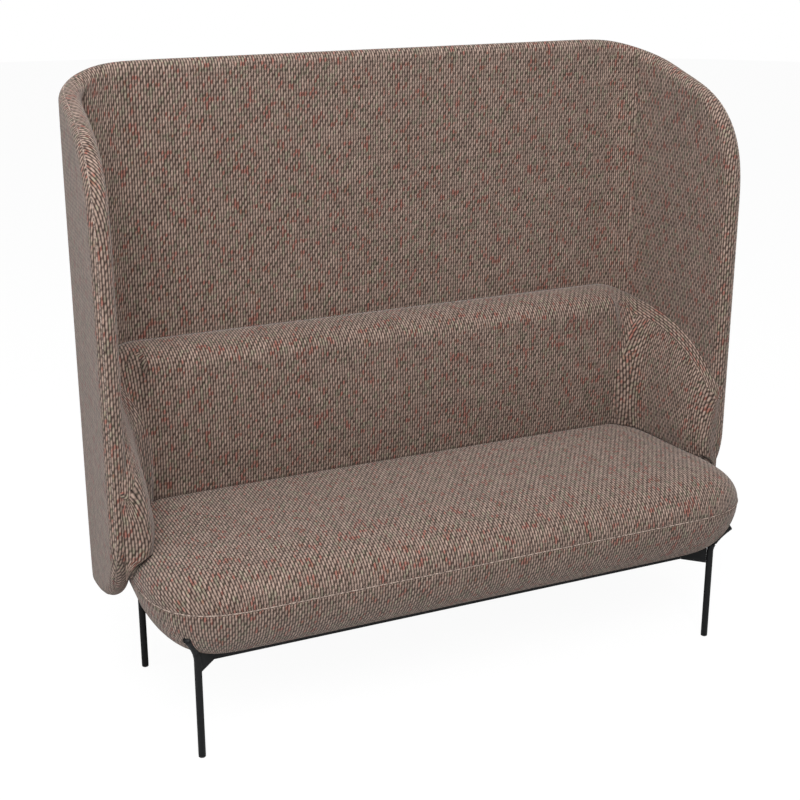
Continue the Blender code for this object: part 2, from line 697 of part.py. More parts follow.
def box(name, low, high, material):
    """A box between two corners."""
    bpy.ops.mesh.primitive_cube_add(size=1.0)
    raw = bpy.context.active_object
    mesh = raw.data
    bpy.data.objects.remove(raw, do_unlink=True)
    for vert in mesh.vertices:
        vert.co = [low[k] + (high[k] - low[k]) * (vert.co[k] + 0.5) for k in range(3)]
    return place(name, mesh, material, smooth=False)


def turned(name, profile, material, spot, tilt=(0.0, 0.0, 0.0)):
    """Turn a half section round the Z axis. The profile runs from the top down its outer side."""
    mesh = bpy.data.meshes.new(name)
    mesh.from_pydata([(r, 0.0, z) for r, z in profile], [(k, k + 1) for k in range(len(profile) - 1)], [])
    piece = place(name, mesh, material)
    piece.location = spot
    piece.rotation_euler = tilt
    spin = piece.modifiers.new("turn", "SCREW")
    spin.axis = "Z"
    spin.angle = 2 * math.pi
    spin.steps = ROUND_SIDES
    spin.render_steps = ROUND_SIDES
    spin.use_merge_vertices = True
    spin.merge_threshold = 0.00001
    return piece


def drill(name, radius, spot, tilt, length):
    """A cutter for a round hole that starts at spot and runs along the tilted Z axis."""
    profile = [(0.0, length), (radius, length), (radius, -length), (0.0, -length)]
    return as_cutter(turned(name, profile, "zinc", spot, tilt))


def screw_profile(shank_length):
    """Half section of a screw whose head's underside lies at zero."""
    return [(0.0, shank_length), (SCREW_RADIUS, shank_length), (SCREW_RADIUS, 0.0),
            (SCREW_HEAD_RADIUS, 0.0), (SCREW_HEAD_RADIUS, -SCREW_HEAD_HEIGHT), (0.0, -SCREW_HEAD_HEIGHT)]


def corners():
    """Each leg's name, side and way back, where -1 is left or front and 1 is right or rear."""
    for way, depth_name in ((-1, "front"), (1, "rear")):
        for side, side_name in ((-1, "left"), (1, "right")):
            yield depth_name + "_" + side_name, side, way


def leg_axis(side, way):
    return Vector((side * LEG_X, LEG_REAR_Y if way > 0 else LEG_FRONT_Y, 0.0))


def build_legs(envelope):
    """A rod for each leg, bent towards its corner at the top where it runs into the seat, and its glide."""
    for name, side, way in corners():
        axis = leg_axis(side, way)
        outward = Vector((side, way, 0)).normalized()
        path = [axis + Vector((0, 0, z)) for z in (GLIDE_HEIGHT + FIT_GAP, LEG_BEND_HEIGHT)]
        for step in range(1, LEG_BEND_STEPS + 1):
            share = step / LEG_BEND_STEPS
            reach = LEG_BEND_REACH * share ** LEG_BEND_EXPONENT
            path.append(path[1] + outward * reach + Vector((0, 0, LEG_BEND_RISE * share)))
        data = bpy.data.curves.new("leg_" + name, "CURVE")
        data.dimensions = "3D"
        data.bevel_depth = LEG_RADIUS
        data.bevel_resolution = 4
        data.use_fill_caps = True
        line = data.splines.new("POLY")
        line.points.add(len(path) - 1)
        for point, spot in zip(line.points, path):
            point.co = (*spot, 1.0)
        cut(curve_to_piece("leg_" + name, data, "steel"), envelope)
        profile = [(0.0, GLIDE_HEIGHT), (LEG_RADIUS, GLIDE_HEIGHT), (LEG_RADIUS, GLIDE_EDGE),
                   (LEG_RADIUS - GLIDE_EDGE, 0.0), (0.0, 0.0)]
        turned("glide_" + name, profile, "glide", axis)


def build_frame(envelope):
    """Four rails in a rectangle, two crossbars, and a plate from each corner to a leg and up to the seat."""
    half_x, front, rear = RAIL_END_X, RAIL_FRONT_Y, RAIL_REAR_Y
    rails = {
        "rail_front": ((-half_x, front), (half_x, front + RAIL_WIDTH), 0),
        "rail_rear": ((-half_x, rear - RAIL_WIDTH), (half_x, rear), 0),
        "rail_left": ((-half_x, front + RAIL_WIDTH + FIT_GAP),
                      (-half_x + RAIL_WIDTH, rear - RAIL_WIDTH - FIT_GAP), 1),
        "rail_right": ((half_x - RAIL_WIDTH, front + RAIL_WIDTH + FIT_GAP),
                       (half_x, rear - RAIL_WIDTH - FIT_GAP), 1),
    }
    for name, (low, high, run) in rails.items():
        rail = box(name, (*low, RAIL_BOTTOM), (*high, RAIL_TOP), "steel")
        wall = [RAIL_WALL, RAIL_WALL, RAIL_WALL]
        wall[run] = -RAIL_WALL
        bore_low = [v + w for v, w in zip((*low, RAIL_BOTTOM), wall)]
        bore_high = [v - w for v, w in zip((*high, RAIL_TOP), wall)]
        cut(rail, as_cutter(box(name + "_bore", bore_low, bore_high, "steel")))

    reach = math.hypot(RAIL_INSET, RAIL_INSET)
    for name, side, way in corners():
        start = LEG_RADIUS + FIT_GAP
        half = PLATE_THICKNESS / 2
        plate = box("corner_plate_" + name, (start, -half, RAIL_BOTTOM),
                    (reach - FIT_GAP, half, RAIL_TOP + PLATE_RISE), "steel")
        plate.location = leg_axis(side, way)
        plate.rotation_euler = (0, 0, math.atan2(-way, -side))
        cut(plate, envelope)

    screw_hole = SCREW_RADIUS + HOLE_CLEARANCE
    bar_bottom = RAIL_TOP - CROSSBAR_THICKNESS
    for side, side_name in ((-1, "left"), (1, "right")):
        x = side * CROSSBAR_SPACING / 2
        low = (x - CROSSBAR_WIDTH / 2, front + RAIL_WIDTH + FIT_GAP, bar_bottom)
        high = (x + CROSSBAR_WIDTH / 2, rear - RAIL_WIDTH - FIT_GAP, RAIL_TOP)
        bar = box("crossbar_" + side_name, low, high, "steel")
        for y, way_name in ((front + SCREW_SETBACK, "front"), (rear - SCREW_SETBACK, "rear")):
            spot = Vector((x, y, bar_bottom - FIT_GAP))
            length = BOARD_BOTTOM + SCREW_GRIP - spot.z
            turned("seat_screw_" + way_name + "_" + side_name, screw_profile(length), "zinc", spot)
            hole = drill("seat_hole_" + way_name + "_" + side_name, screw_hole, spot, (0, 0, 0),
                         length + FIT_GAP)
            cut(bar, hole)
            cut(bpy.data.objects["seat_dust_cover"], hole)
            cut(bpy.data.objects["seat_board"], hole)


def build_brackets():
    """Two bent bars that join the rear rail to the shell's core, under the back of the seat."""
    rail_face = RAIL_REAR_Y + FIT_GAP
    foot_height = RAIL_TOP - BRACKET_DROP
    shell_face = BACK_LINE_Y - HALF_SHELL - FIT_GAP
    upright = shell_face - BRACKET_THICKNESS / 2
    line = [(rail_face, foot_height), (rail_face + BRACKET_FOOT, foot_height),
            (upright, SHELL_BOTTOM + BRACKET_BEND), (upright, SHELL_BOTTOM + BRACKET_RISE)]
    half = BRACKET_THICKNESS / 2
    outline = offset_profile(line, half) + offset_profile(line, -half)[::-1]
    face_y = shell_face - BRACKET_THICKNESS - FIT_GAP
    length = BACK_LINE_Y + CORE_THICKNESS / 4 - face_y
    towards_back = (-math.pi / 2, 0.0, 0.0)
    for side, side_name in ((-1, "left"), (1, "right")):
        x = side * BRACKET_SPACING / 2
        data = bpy.data.curves.new("shell_bracket_" + side_name, "CURVE")
        data.dimensions = "2D"
        data.fill_mode = "BOTH"
        data.extrude = BRACKET_WIDTH / 2
        shape = data.splines.new("POLY")
        shape.points.add(len(outline) - 1)
        for point, (y, z) in zip(shape.points, outline):
            point.co = (y, z, 0.0, 1.0)
        shape.use_cyclic_u = True
        bracket = curve_to_piece("shell_bracket_" + side_name, data, "steel")
        bracket.location = (x, 0.0, 0.0)
        bracket.rotation_euler = (math.pi / 2, 0.0, math.pi / 2)
        for hand, hand_name in ((-1, "a"), (1, "b")):
            screw_height = SHELL_BOTTOM + BRACKET_SCREW_RISE
            spot = Vector((x + hand * BRACKET_SCREW_SPACING / 2, face_y, screw_height))
            name = "shell_screw_" + side_name + "_" + hand_name
            turned(name, screw_profile(length), "zinc", spot, towards_back)
            hole = drill("shell_hole_" + side_name + "_" + hand_name, SCREW_RADIUS + HOLE_CLEARANCE,
                         spot, towards_back, length + FIT_GAP)
            cut(bracket, hole)
            for layer in ("shell_core", "shell_inner_foam", "shell_inner_cover"):
                cut(bpy.data.objects[layer], hole)


clear_scene()
SOFA = make_collection("two_seater_sofa")
CUTTERS = make_collection("cutters")
build_shell()
seat_envelope = build_seat()
build_piping()
build_pad()
build_legs(seat_envelope)
build_frame(seat_envelope)
build_brackets()
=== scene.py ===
"""Looks of a high-backed two-seater sofa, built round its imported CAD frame, in metres, +Z up.

The sofa faces -Y. Every upholstered piece is a surface worked out with numpy from the same plan
and section formulas as the CAD solids that it replaces. Its weave runs in a UV map in metres.
"""
import math

import bpy
import numpy as np
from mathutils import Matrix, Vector


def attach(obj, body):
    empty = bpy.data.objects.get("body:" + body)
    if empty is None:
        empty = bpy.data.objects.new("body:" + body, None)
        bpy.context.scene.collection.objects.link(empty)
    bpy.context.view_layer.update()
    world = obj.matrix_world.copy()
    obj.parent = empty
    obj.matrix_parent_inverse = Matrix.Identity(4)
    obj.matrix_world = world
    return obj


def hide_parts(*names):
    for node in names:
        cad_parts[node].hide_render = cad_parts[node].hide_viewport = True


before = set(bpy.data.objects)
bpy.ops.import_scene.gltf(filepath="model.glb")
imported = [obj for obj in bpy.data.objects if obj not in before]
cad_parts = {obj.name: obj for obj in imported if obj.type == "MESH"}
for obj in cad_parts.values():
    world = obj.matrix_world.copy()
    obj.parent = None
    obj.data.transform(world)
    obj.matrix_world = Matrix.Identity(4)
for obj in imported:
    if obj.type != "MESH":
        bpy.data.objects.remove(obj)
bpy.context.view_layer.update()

bl_info = {
    "name": "High-backed two-seater sofa",
    "version": (1, 0, 0),
    "blender": (4, 5, 0),
    "location": "3D View > Sidebar > Sofa",
    "description": "Upholstery, steel frame and studio for the sofa's CAD frame",
    "category": "Add Mesh",
}

# Sizes shared with the CAD source
DEPTH = 0.6454
SEAT_BOTTOM = 0.2208
SHELL_THICKNESS = 0.0447
SHELL_HEIGHT = 1.398
SHELL_LIFT = 0.0102
SHELL_FRONT_WIDTH = 1.556
WING_SPLAY = math.radians(4.32)
WING_REACH = 0.398
CORNER_RADIUS = 0.124
WING_TOP_FALL = 0.317
WING_FALL_START = 0.0267
WING_TOP = (0.214, 0.384, 3.27)         # length, height and exponent of the wing's rounded top
WING_FOOT = (0.4235, 0.245, 2.38)       # and of its rounded foot
SEAT_BELOW_SEAM = 0.1392
SEAT_ABOVE_SEAM = 0.0713
SEAT_CROWN = 0.005
SEAT_CORNER_DEPTH = 0.2213
SEAT_CORNER_EXPONENT = 2.9
SEAT_CORNER_SQUARING = 37.0
SHOULDER_INSET = 0.104
SHOULDER_EXPONENT = 2.12
UNDERCUT_INSET = 0.148
UNDERCUT_EXPONENT = 2.02
SEAT_SIDE_GAP = 0.0005
PIPING_RADIUS = 0.003
FABRIC = 0.0022
FIT_GAP = 0.0003
COVER_TUCK = 0.035
PAD_BACK_DEPTH = 0.115
PAD_FOLD_DEPTH = 0.095
PAD_ARM_DEPTH = 0.052
PAD_ARM_SLIMMING = 0.10
PAD_RISE = 0.3487
PAD_ARM_DROP = 0.038
PAD_ARM_FALL = 0.292
PAD_FALL_EXPONENT = 2.4
PAD_FALL_MARGIN = 0.023
PAD_PROUD = 0.009
PAD_BACK_EDGE = 0.055
PAD_ARM_EDGE = 0.160
PAD_EDGE_EXPONENT = 2.4
PAD_ARM_EXPONENT = 1.5
PAD_NOSE_LENGTH = 0.085
PAD_NOSE_EXPONENT = 2.3
PAD_NOSE_BLUNT = 0.36
PAD_FOLD_RADIUS = 0.012
PAD_CROWN = 0.006
LEG_RADIUS = 0.008
LEG_SIDE_SETBACK = 0.1307
LEG_FRONT_SETBACK = 0.0886
LEG_REAR_SETBACK = 0.1222
LEG_BEND_ABOVE = 0.009
LEG_BEND_REACH = 0.0425
LEG_BEND_RISE = 0.0676
LEG_BEND_EXPONENT = 1.6
GLIDE_HEIGHT = 0.004

# Sizes of the upholstery alone, and of the floor
COVER_WALL = 0.0012
SEAM_ANGLE = math.radians(32)           # place of the shell's seam round its rim, towards the outside
SEAM_SPREAD = math.radians(9)           # half the width of the groove at that seam
RIM_TUCK = 0.006                        # depth of the shell covers' edges in that seam
RIM_TUCK_WEAVE = 0.004
CREASE_TURN = 0.57                      # share of the corner's arc before the shell's sewn crease
CREASE_DEPTH = 0.011
CREASE_WIDTH = 0.020
CREASE_FADE = 0.030                     # distance below the rim over which the crease starts
CREASE_START = 0.004                    # the rim's middle line to the top of the sewn line
STITCH_WIDTH = 0.0030                   # of the narrow groove at the crease's sewn line
STITCH_DEPTH = 0.0030
STITCH_RADIUS = 0.0011
SEAM_SINK = 0.35                        # depth of the middle of the rim's raised line, in widths of it
PANEL_SHIFT = (0.0021, 0.0047)          # step in the weave from one sewn panel to the next
SEAM_OPENING = 0.0002                   # half the width of the seat's seam
HEM_WIDTH = 0.010                       # of the seat covers' edges, turned in at that seam
HEM_DROP = 0.002
WELT_RADIUS = 0.0017
WELT_SINK = 0.0002                      # the seat's widest line to the middle of its welt
WELT_TWIST = 0.7                        # how far the welt's weave turns along it, as a slope
PAD_SEAT_GAP = 0.0004                   # the seat to the underside of the pad
PAD_EDGE_SHARE = 0.6                    # most of the pad's height that the rounding of its top may take
PAD_REAR_LIFT = 0.09                    # share of the pad's thickness where its underside starts
NOSE_SETTLE = 0.009                     # how far the arm's front sinks at its foot
NOSE_FOOT = 0.05                        # height over which it does
NOSE_LAP = math.radians(80)             # how far the arm's front laps round the wing's rim
STRIP_SHARE = 0.42                      # share of the arm's thickness under its top strip
ARM_WEAVE_START = 0.5                   # the arms' weave against the back's
FOOT_BEVEL = 0.0012                     # of a leg's lower end
FLOOR_RADIUS = 14.0

# Worked out from them
SHELL_BOTTOM = SEAT_BOTTOM + SHELL_LIFT
SEAM_HEIGHT = SEAT_BOTTOM + SEAT_BELOW_SEAM
SEAT_TOP = SEAM_HEIGHT + SEAT_ABOVE_SEAM
PAD_HEIGHT = SEAT_TOP + PAD_RISE
PAD_REACH = WING_REACH + PAD_PROUD
HALF_SHELL = SHELL_THICKNESS / 2
BACK_LINE_Y = DEPTH / 2 - HALF_SHELL
WING_DIR = np.array((math.sin(WING_SPLAY), -math.cos(WING_SPLAY)))
WING_OUT = np.array((math.cos(WING_SPLAY), math.sin(WING_SPLAY)))
SHEET_REACH = WING_REACH - HALF_SHELL
CORNER = np.array((SHELL_FRONT_WIDTH / 2 - HALF_SHELL / WING_OUT[0] - SHEET_REACH * WING_DIR[0],
                   BACK_LINE_Y))
TURN = math.pi / 2 - WING_SPLAY
PIPING_PROUD = PIPING_RADIUS - FABRIC
FRONT_Y = -DEPTH / 2 + PIPING_RADIUS + PIPING_PROUD
LEG_X = SHELL_FRONT_WIDTH / 2 - LEG_SIDE_SETBACK
INNER_DEPTH = HALF_SHELL + SEAT_SIDE_GAP
UP = np.array((0.0, 0.0, 1.0))

# Grid sizes of the visible pieces
OUTLINE_STEPS = 600                     # on each rounded corner of the shell's outline
CREASE_STEPS = 80
TUBE_SIDES = 10
ROD_SIDES = 32
LEG_POINTS = (4, 12)                    # up the rod's straight part, and round its bend
FLOOR_RINGS = 14
FLOOR_SIDES = 64
STATION_POWER = 1.6                     # how strongly the shell's columns crowd at the crease
SHELL_CELLS = (52, 18, 22)              # to the crease, to past the arc, and along the wing; half
SHELL_GRID = (2 * sum(SHELL_CELLS), 92) # cells across the unrolled shell and up it
RIM_STEPS = 14
SEAT_COUNTS = (44, 12, 14, 28, 36)      # back, rear corner, side, front corner, front; half the loop
SHOULDER_STEPS = 18
PAD_COUNTS = (40, 12, 44)               # back, fold, arm; half the pad
PAD_SECTION = (6, 18, 26, 8)            # rear face, top rounding, front face, underside
NOSE_STEPS = 8                          # from the arm's front across to the wing's rim
STRAIGHT_ARM = sum(PAD_COUNTS[:2]) + 6  # the pad's first column well past its inner corner


def settings():
    """The sofa's settings in the scene."""
    return bpy.context.scene.sofa


# Meshes

def quads(rows, columns, close=False):
    """Corner numbers of the cells of a rows by columns grid of points, which may close round its rows."""
    number = np.arange(rows * columns).reshape(rows, columns)
    if close:
        number = np.concatenate((number, number[:, :1]), axis=1)
    cells = (number[:-1, :-1], number[:-1, 1:], number[1:, 1:], number[1:, :-1])
    return np.stack([cell.ravel() for cell in cells], axis=1)


def weld(points, faces):
    """Merge points that agree to a micrometre."""
    _, first, which = np.unique(np.round(points, 6), axis=0, return_index=True, return_inverse=True)
    return points[first], which.ravel()[faces]


def make_piece(name, points, faces, weave=None, flip=False):
    """A mesh object from points, faces of four corners and the weave's place at each corner.

    A face two of whose corners were welded becomes a triangle, and one with fewer corners goes.
    """
    points, faces = weld(points, faces)
    if flip:
        faces = faces[:, ::-1]
        weave = None if weave is None else weave[:, ::-1]
    distinct = faces != np.roll(faces, 1, axis=1)
    kept = distinct.sum(axis=1) >= 3
    faces, distinct = faces[kept], distinct[kept]
    totals = distinct.sum(axis=1)
    mesh = bpy.data.meshes.new(name)
    mesh.vertices.add(len(points))
    mesh.vertices.foreach_set("co", points.astype(np.float32).ravel())
    mesh.loops.add(int(totals.sum()))
    mesh.loops.foreach_set("vertex_index", faces[distinct].astype(np.int32))
    mesh.polygons.add(len(faces))
    starts = np.concatenate(([0], np.cumsum(totals)[:-1])).astype(np.int32)
    mesh.polygons.foreach_set("loop_start", starts)
    mesh.polygons.foreach_set("use_smooth", np.full(len(faces), True))
    if weave is not None:
        layer = mesh.uv_layers.new(name="weave")
        layer.data.foreach_set("uv", weave[kept][distinct].astype(np.float32).ravel())
    mesh.update(calc_edges=True)
    mesh.validate()
    piece = bpy.data.objects.new(name, mesh)
    bpy.context.scene.collection.objects.link(piece)
    return piece


def coons(loop, across, up):
    """Fill a closed loop of values with a grid.

    The loop runs along four sides of across, up, across and up cells. The value at (u, v) is the
    blend of the lower and upper sides plus the blend of the left and right sides, less the blend
    of the four corners.
    """
    low = loop[:across + 1]
    right = loop[across:across + up + 1]
    high = loop[across + up:2 * across + up + 1][::-1]
    left = np.concatenate((loop[2 * across + up:], loop[:1]))[::-1]
    u = np.linspace(0, 1, across + 1)[:, None, None]
    v = np.linspace(0, 1, up + 1)[None, :, None]
    edges = (1 - v) * low[:, None] + v * high[:, None] + (1 - u) * left[None] + u * right[None]
    ends = ((1 - u) * (1 - v) * low[0] + u * (1 - v) * low[-1] + (1 - u) * v * high[0] + u * v * high[-1])
    return edges - ends


def panel(grid, rings, grid_weave, ring_weaves):
    """Join a grid of points and the rings round it into points, faces and the weave at each corner.

    The first ring is the grid's own border, in order from its first corner along its first side.
    """
    points = np.concatenate((grid.reshape(-1, 3), rings.reshape(-1, 3)))
    weave = np.concatenate((grid_weave.reshape(-1, 2), ring_weaves.reshape(-1, 2)))
    inner = quads(*grid.shape[:2])
    outer = quads(*rings.shape[:2], close=True) + grid.shape[0] * grid.shape[1]
    faces = np.concatenate((inner, outer))[:, ::-1]
    return points, faces, weave[faces]


def ring_piece(name, rings, weave=None):
    """A piece from rings of points that close round, with the weave's place at each point and,
    where a ring closes, once more at its first one."""
    if weave is not None:
        weave = weave.reshape(-1, 2)[quads(*weave.shape[:2])]
    return make_piece(name, rings.reshape(-1, 3), quads(*rings.shape[:2], close=True), weave)


def lift(plan, height):
    """Plan points and heights as points in space."""
    return np.concatenate((plan, np.broadcast_to(height, plan.shape[:-1])[..., None]), axis=-1)


def lengths(points):
    """Distance run along each line of points, from its first one."""
    steps = np.linalg.norm(np.diff(points, axis=0), axis=-1)
    return np.concatenate((np.zeros_like(steps[:1]), np.cumsum(steps, axis=0)))


def quarter(steps, exponent):
    """A superellipse's quarter, across and up: 1 - cos(t)^(2/n) and sin(t)^(2/n)."""
    t = np.linspace(0, math.pi / 2, steps + 1)
    return 1 - np.clip(np.cos(t), 0, 1) ** (2 / exponent), np.sin(t) ** (2 / exponent)


def tube(path, radius, sides, closed=False):
    """Rings of a round tube along a path: at each point a circle across the path's direction. An
    open path's ends are closed to a point."""
    if closed:
        run = np.roll(path, -1, axis=0) - np.roll(path, 1, axis=0)
    else:
        run = np.gradient(path, axis=0)
    run /= np.linalg.norm(run, axis=1, keepdims=True)
    reference = np.where(np.abs(run[:, 2:]) > 0.9, (1.0, 0.0, 0.0), (0.0, 0.0, 1.0))
    side = np.cross(run, reference)
    side /= np.linalg.norm(side, axis=1, keepdims=True)
    other = np.cross(run, side)
    turn = np.linspace(0, 2 * math.pi, sides, endpoint=False)
    radii = np.broadcast_to(radius, len(path))[:, None, None]
    circle = (side[:, None] * np.cos(turn)[None, :, None] + other[:, None] * np.sin(turn)[None, :, None])
    rings = path[:, None] + circle * radii
    if closed:
        rings = np.concatenate((rings, rings[:1]))
    else:
        tips = np.broadcast_to(path[[0, -1], None], (2, sides, 3))
        rings = np.concatenate((tips[:1], rings, tips[1:]))
    return rings


# Plan of the shell and of what lines it

def corner_centre(depth):
    """Centre and radius of the rear corner's arc for a line depth inside the middle line, and how far
    along the wing it ends."""
    reach = max(depth + PAD_FOLD_RADIUS, CORNER_RADIUS)
    along = reach * (1 - WING_DIR[0]) / WING_OUT[0]
    return CORNER - WING_OUT * reach + WING_DIR * along, reach - depth, along


ARC_LENGTH = CORNER_RADIUS * TURN
ARC_START, _, ARC_ALONG = corner_centre(0.0)
PATH_END = ARC_START[0] + ARC_LENGTH + SHEET_REACH - ARC_ALONG
CREASE_PATH = ARC_START[0] + ARC_LENGTH * CREASE_TURN


def plan_at(path):
    """Plan point and outward normal at a distance along the shell's middle line from its middle.

    The line runs straight along the back, round an arc and straight along the wing. The left half
    is the right half's mirror image.
    """
    way = np.abs(path)
    side = np.where(path < 0, -1.0, 1.0)
    turned = np.clip((way - ARC_START[0]) / CORNER_RADIUS, 0, TURN)
    normal = np.stack((np.sin(turned), np.cos(turned)), axis=-1)
    point = ARC_START + normal * CORNER_RADIUS
    point[..., 0] += np.minimum(way - ARC_START[0], 0)
    point = point + np.maximum(way - ARC_START[0] - ARC_LENGTH, 0)[..., None] * WING_DIR
    mirror = np.stack((side, np.ones_like(side)), axis=-1)
    return point * mirror, normal * mirror


def top_fall(path):
    """How far the top edge has fallen at a distance round the shell: k s log(1 + e^((x - s) / s)),
    where x counts from the start of the corner's arc."""
    bend = np.log1p(np.exp((path - ARC_START[0] - WING_FALL_START) / WING_FALL_START))
    return WING_TOP_FALL * WING_FALL_START * bend


def shell_outline():
    """The middle sheet's edge, unrolled, from the back's lower middle anticlockwise to its upper one:
    path and height, and which points are the middles of the wing's two rounded corners.

    Each corner of the wing is a superellipse's quarter: the distance to the front is
    L (1 - sin(t)^(2/n)) and the height left is cos(t)^(2/n).
    """
    t = np.linspace(0, math.pi / 2, OUTLINE_STEPS)[1:]
    length, height, exponent = WING_FOOT
    low_path = PATH_END - (length - HALF_SHELL) * (1 - np.sin(t) ** (2 / exponent))
    low_level = np.clip(np.cos(t), 0, 1) ** (2 / exponent)
    low = np.stack((low_path, SHELL_BOTTOM + height - low_level * (height - HALF_SHELL)), axis=1)
    length, height, exponent = WING_TOP
    high_path = PATH_END - (length - HALF_SHELL) * (1 - np.sin(t) ** (2 / exponent))
    high_level = np.clip(np.cos(t), 0, 1) ** (2 / exponent)
    fall = height - HALF_SHELL - top_fall(high_path)
    high = np.stack((high_path, SHELL_HEIGHT - height + high_level * fall), axis=1)[::-1]
    bottom = np.linspace(0, low[0, 0], OUTLINE_STEPS)[:-1]
    bottom = np.stack((bottom, np.full_like(bottom, SHELL_BOTTOM + HALF_SHELL)), axis=1)
    front = np.linspace(low[-1], high[0], OUTLINE_STEPS // 3)[1:-1]
    top = np.linspace(high[-1, 0], 0, OUTLINE_STEPS * 3 // 2)[1:]
    top = np.stack((top, SHELL_HEIGHT - HALF_SHELL - top_fall(top)), axis=1)
    half = np.concatenate((bottom, low, front, high, top))
    foot = len(bottom) + OUTLINE_STEPS // 2
    return half, foot, foot + len(low) + len(front)


def shell_stations(end):
    """Distances of half the grid's columns from the shell's middle, closest together at the crease.

    They run as 1 - (1 - t)^p up to the crease, as t^p from there past the arc, and evenly to the end.
    """
    before, after, along = (np.linspace(0, 1, cells + 1) for cells in SHELL_CELLS)
    bend = ARC_START[0] + ARC_LENGTH + CREASE_WIDTH
    return np.concatenate(((1 - (1 - before) ** STATION_POWER) * CREASE_PATH,
                           (CREASE_PATH + (bend - CREASE_PATH) * after ** STATION_POWER)[1:],
                           (bend + (end - bend) * along)[1:]))


def shell_loop():
    """The sheet's edge, spaced out on each of its four sides, and its outward direction.

    The lower and upper sides take the same distances round the shell, so the grid's columns stand
    upright, and the wings' fronts are spaced evenly.
    """
    half, foot, shoulder = shell_outline()
    line = np.concatenate((half, half[::-1][1:-1] * (-1, 1)))
    count = len(line)
    run = np.roll(line, -2, axis=0) - np.roll(line, 2, axis=0)
    out = np.stack((run[:, 1], -run[:, 0]), axis=1)
    out /= np.linalg.norm(out, axis=1, keepdims=True)
    line, out = np.concatenate((line, line)), np.concatenate((out, out))
    upright = np.linspace(0, 1, SHELL_GRID[1] + 1)[:-1]
    stations = []
    for start, end in ((count - foot, count + foot), (foot, shoulder),
                       (shoulder, count - shoulder), (count - shoulder, count - foot)):
        side = line[start:end + 1]
        if side[0, 0] * side[-1, 0] < 0:
            edge = shell_stations(abs(side[0, 0]))
            way = np.sign(side[-1, 0])
            wanted = np.concatenate((-edge[:0:-1], edge))[:-1]
            distance = side[:, 0] * way
        else:
            distance = lengths(side)
            wanted = upright * distance[-1]
        stations.append(start + np.interp(wanted, distance, np.arange(len(side))))
    stations = np.concatenate(stations)
    number = np.arange(2 * count)
    at = [np.interp(stations, number, column) for column in (*line.T, *out.T)]
    loop, out = np.stack(at[:2], axis=1), np.stack(at[2:], axis=1)
    return loop, out / np.linalg.norm(out, axis=1, keepdims=True)


def rim():
    """The sheet's edge: unrolled, with its outward direction there, then in space, with the sheet's
    normal and the outward direction."""
    loop, out = shell_loop()
    plan, normal = plan_at(loop[:, 0])
    forward = np.stack((normal[:, 1], -normal[:, 0]), axis=1)
    return loop, out, lift(plan, loop[:, 1]), lift(normal, 0.0), lift(forward * out[:, :1], out[:, 1])


def shell_cover(name, side):
    """One fabric cover of the shell, inside for side -1 and outside for 1: its flat face and its
    part of the rim.

    The face is the middle sheet moved out by half the thickness plus a slight crown. Inside, it
    dips at each corner's sewn crease by d e^(-|s - c| / w), and once more at its stitches. The rim
    is a half circle round the sheet's edge: edge + (normal sin a + outward cos a) r, whose radius
    dips at the seam by d e^-((a - seam) / w)^2. The weave is the unrolled sheet, with the rim's
    arc length added outwards, and beyond the crease it is a panel of its own.
    """
    loop, out, edge, edge_normal, outward = rim()
    across, up = SHELL_GRID
    grid = coons(loop, across, up)
    plan, normal = plan_at(grid[..., 0])
    u = np.linspace(-1, 1, across + 1)[:, None]
    v = np.linspace(-1, 1, up + 1)[None, :]
    crown = settings().shell_puff * (1 - u ** 8) * (1 - v ** 6)
    if side < 0:
        below_rim = np.clip((grid[:, -1:, 1] - grid[..., 1]) / CREASE_FADE, 0, 1)
        near = np.exp(-np.abs(np.abs(grid[..., 0]) - CREASE_PATH) / CREASE_WIDTH)
        groove = near * CREASE_DEPTH + near ** (CREASE_WIDTH / STITCH_WIDTH) * STITCH_DEPTH
        crown = crown - groove * np.sin(below_rim * math.pi / 2)
    face = lift(plan + normal * side * (HALF_SHELL + crown)[..., None], grid[..., 1])

    steps = RIM_STEPS if side > 0 else 2 * RIM_STEPS
    angles = np.linspace(side * math.pi / 2, SEAM_ANGLE, steps + 1)
    dip = settings().seam_depth * np.exp(-((angles - SEAM_ANGLE) / SEAM_SPREAD) ** 2)
    radius = np.append(HALF_SHELL - dip, HALF_SHELL - RIM_TUCK)[:, None, None]
    arc = np.abs(angles - angles[0]) * HALF_SHELL
    arc = np.append(arc, arc[-1] + RIM_TUCK_WEAVE)
    a = np.append(angles, angles[-1])[:, None, None]
    rings = edge + (edge_normal * np.sin(a) + outward * np.cos(a)) * radius
    ring_weave = loop[None] + out[None] * arc[:, None, None]
    points, faces, weave = panel(face, rings, grid, ring_weave)
    wing = np.abs(weave[..., 0]).mean(axis=1) > CREASE_PATH
    weave[wing] += PANEL_SHIFT
    weave[..., 0] *= -side
    return backing(make_piece(name, points, faces, weave, flip=side > 0))


def backing(piece):
    """Give open fabric its thickness, on the inner side."""
    wall = piece.modifiers.new("cloth_thickness", "SOLIDIFY")
    wall.thickness = COVER_WALL
    wall.offset = -1.0
    return piece


def shell_seam(name):
    """The raised line of the rim's seam: a thin tube along the sheet's edge at the seam's angle."""
    _, _, edge, normal, outward = rim()
    width = settings().seam_width
    shift = normal * math.sin(SEAM_ANGLE) + outward * math.cos(SEAM_ANGLE)
    return welt(name, edge + shift * (HALF_SHELL - width * SEAM_SINK), width / 2, closed=True)


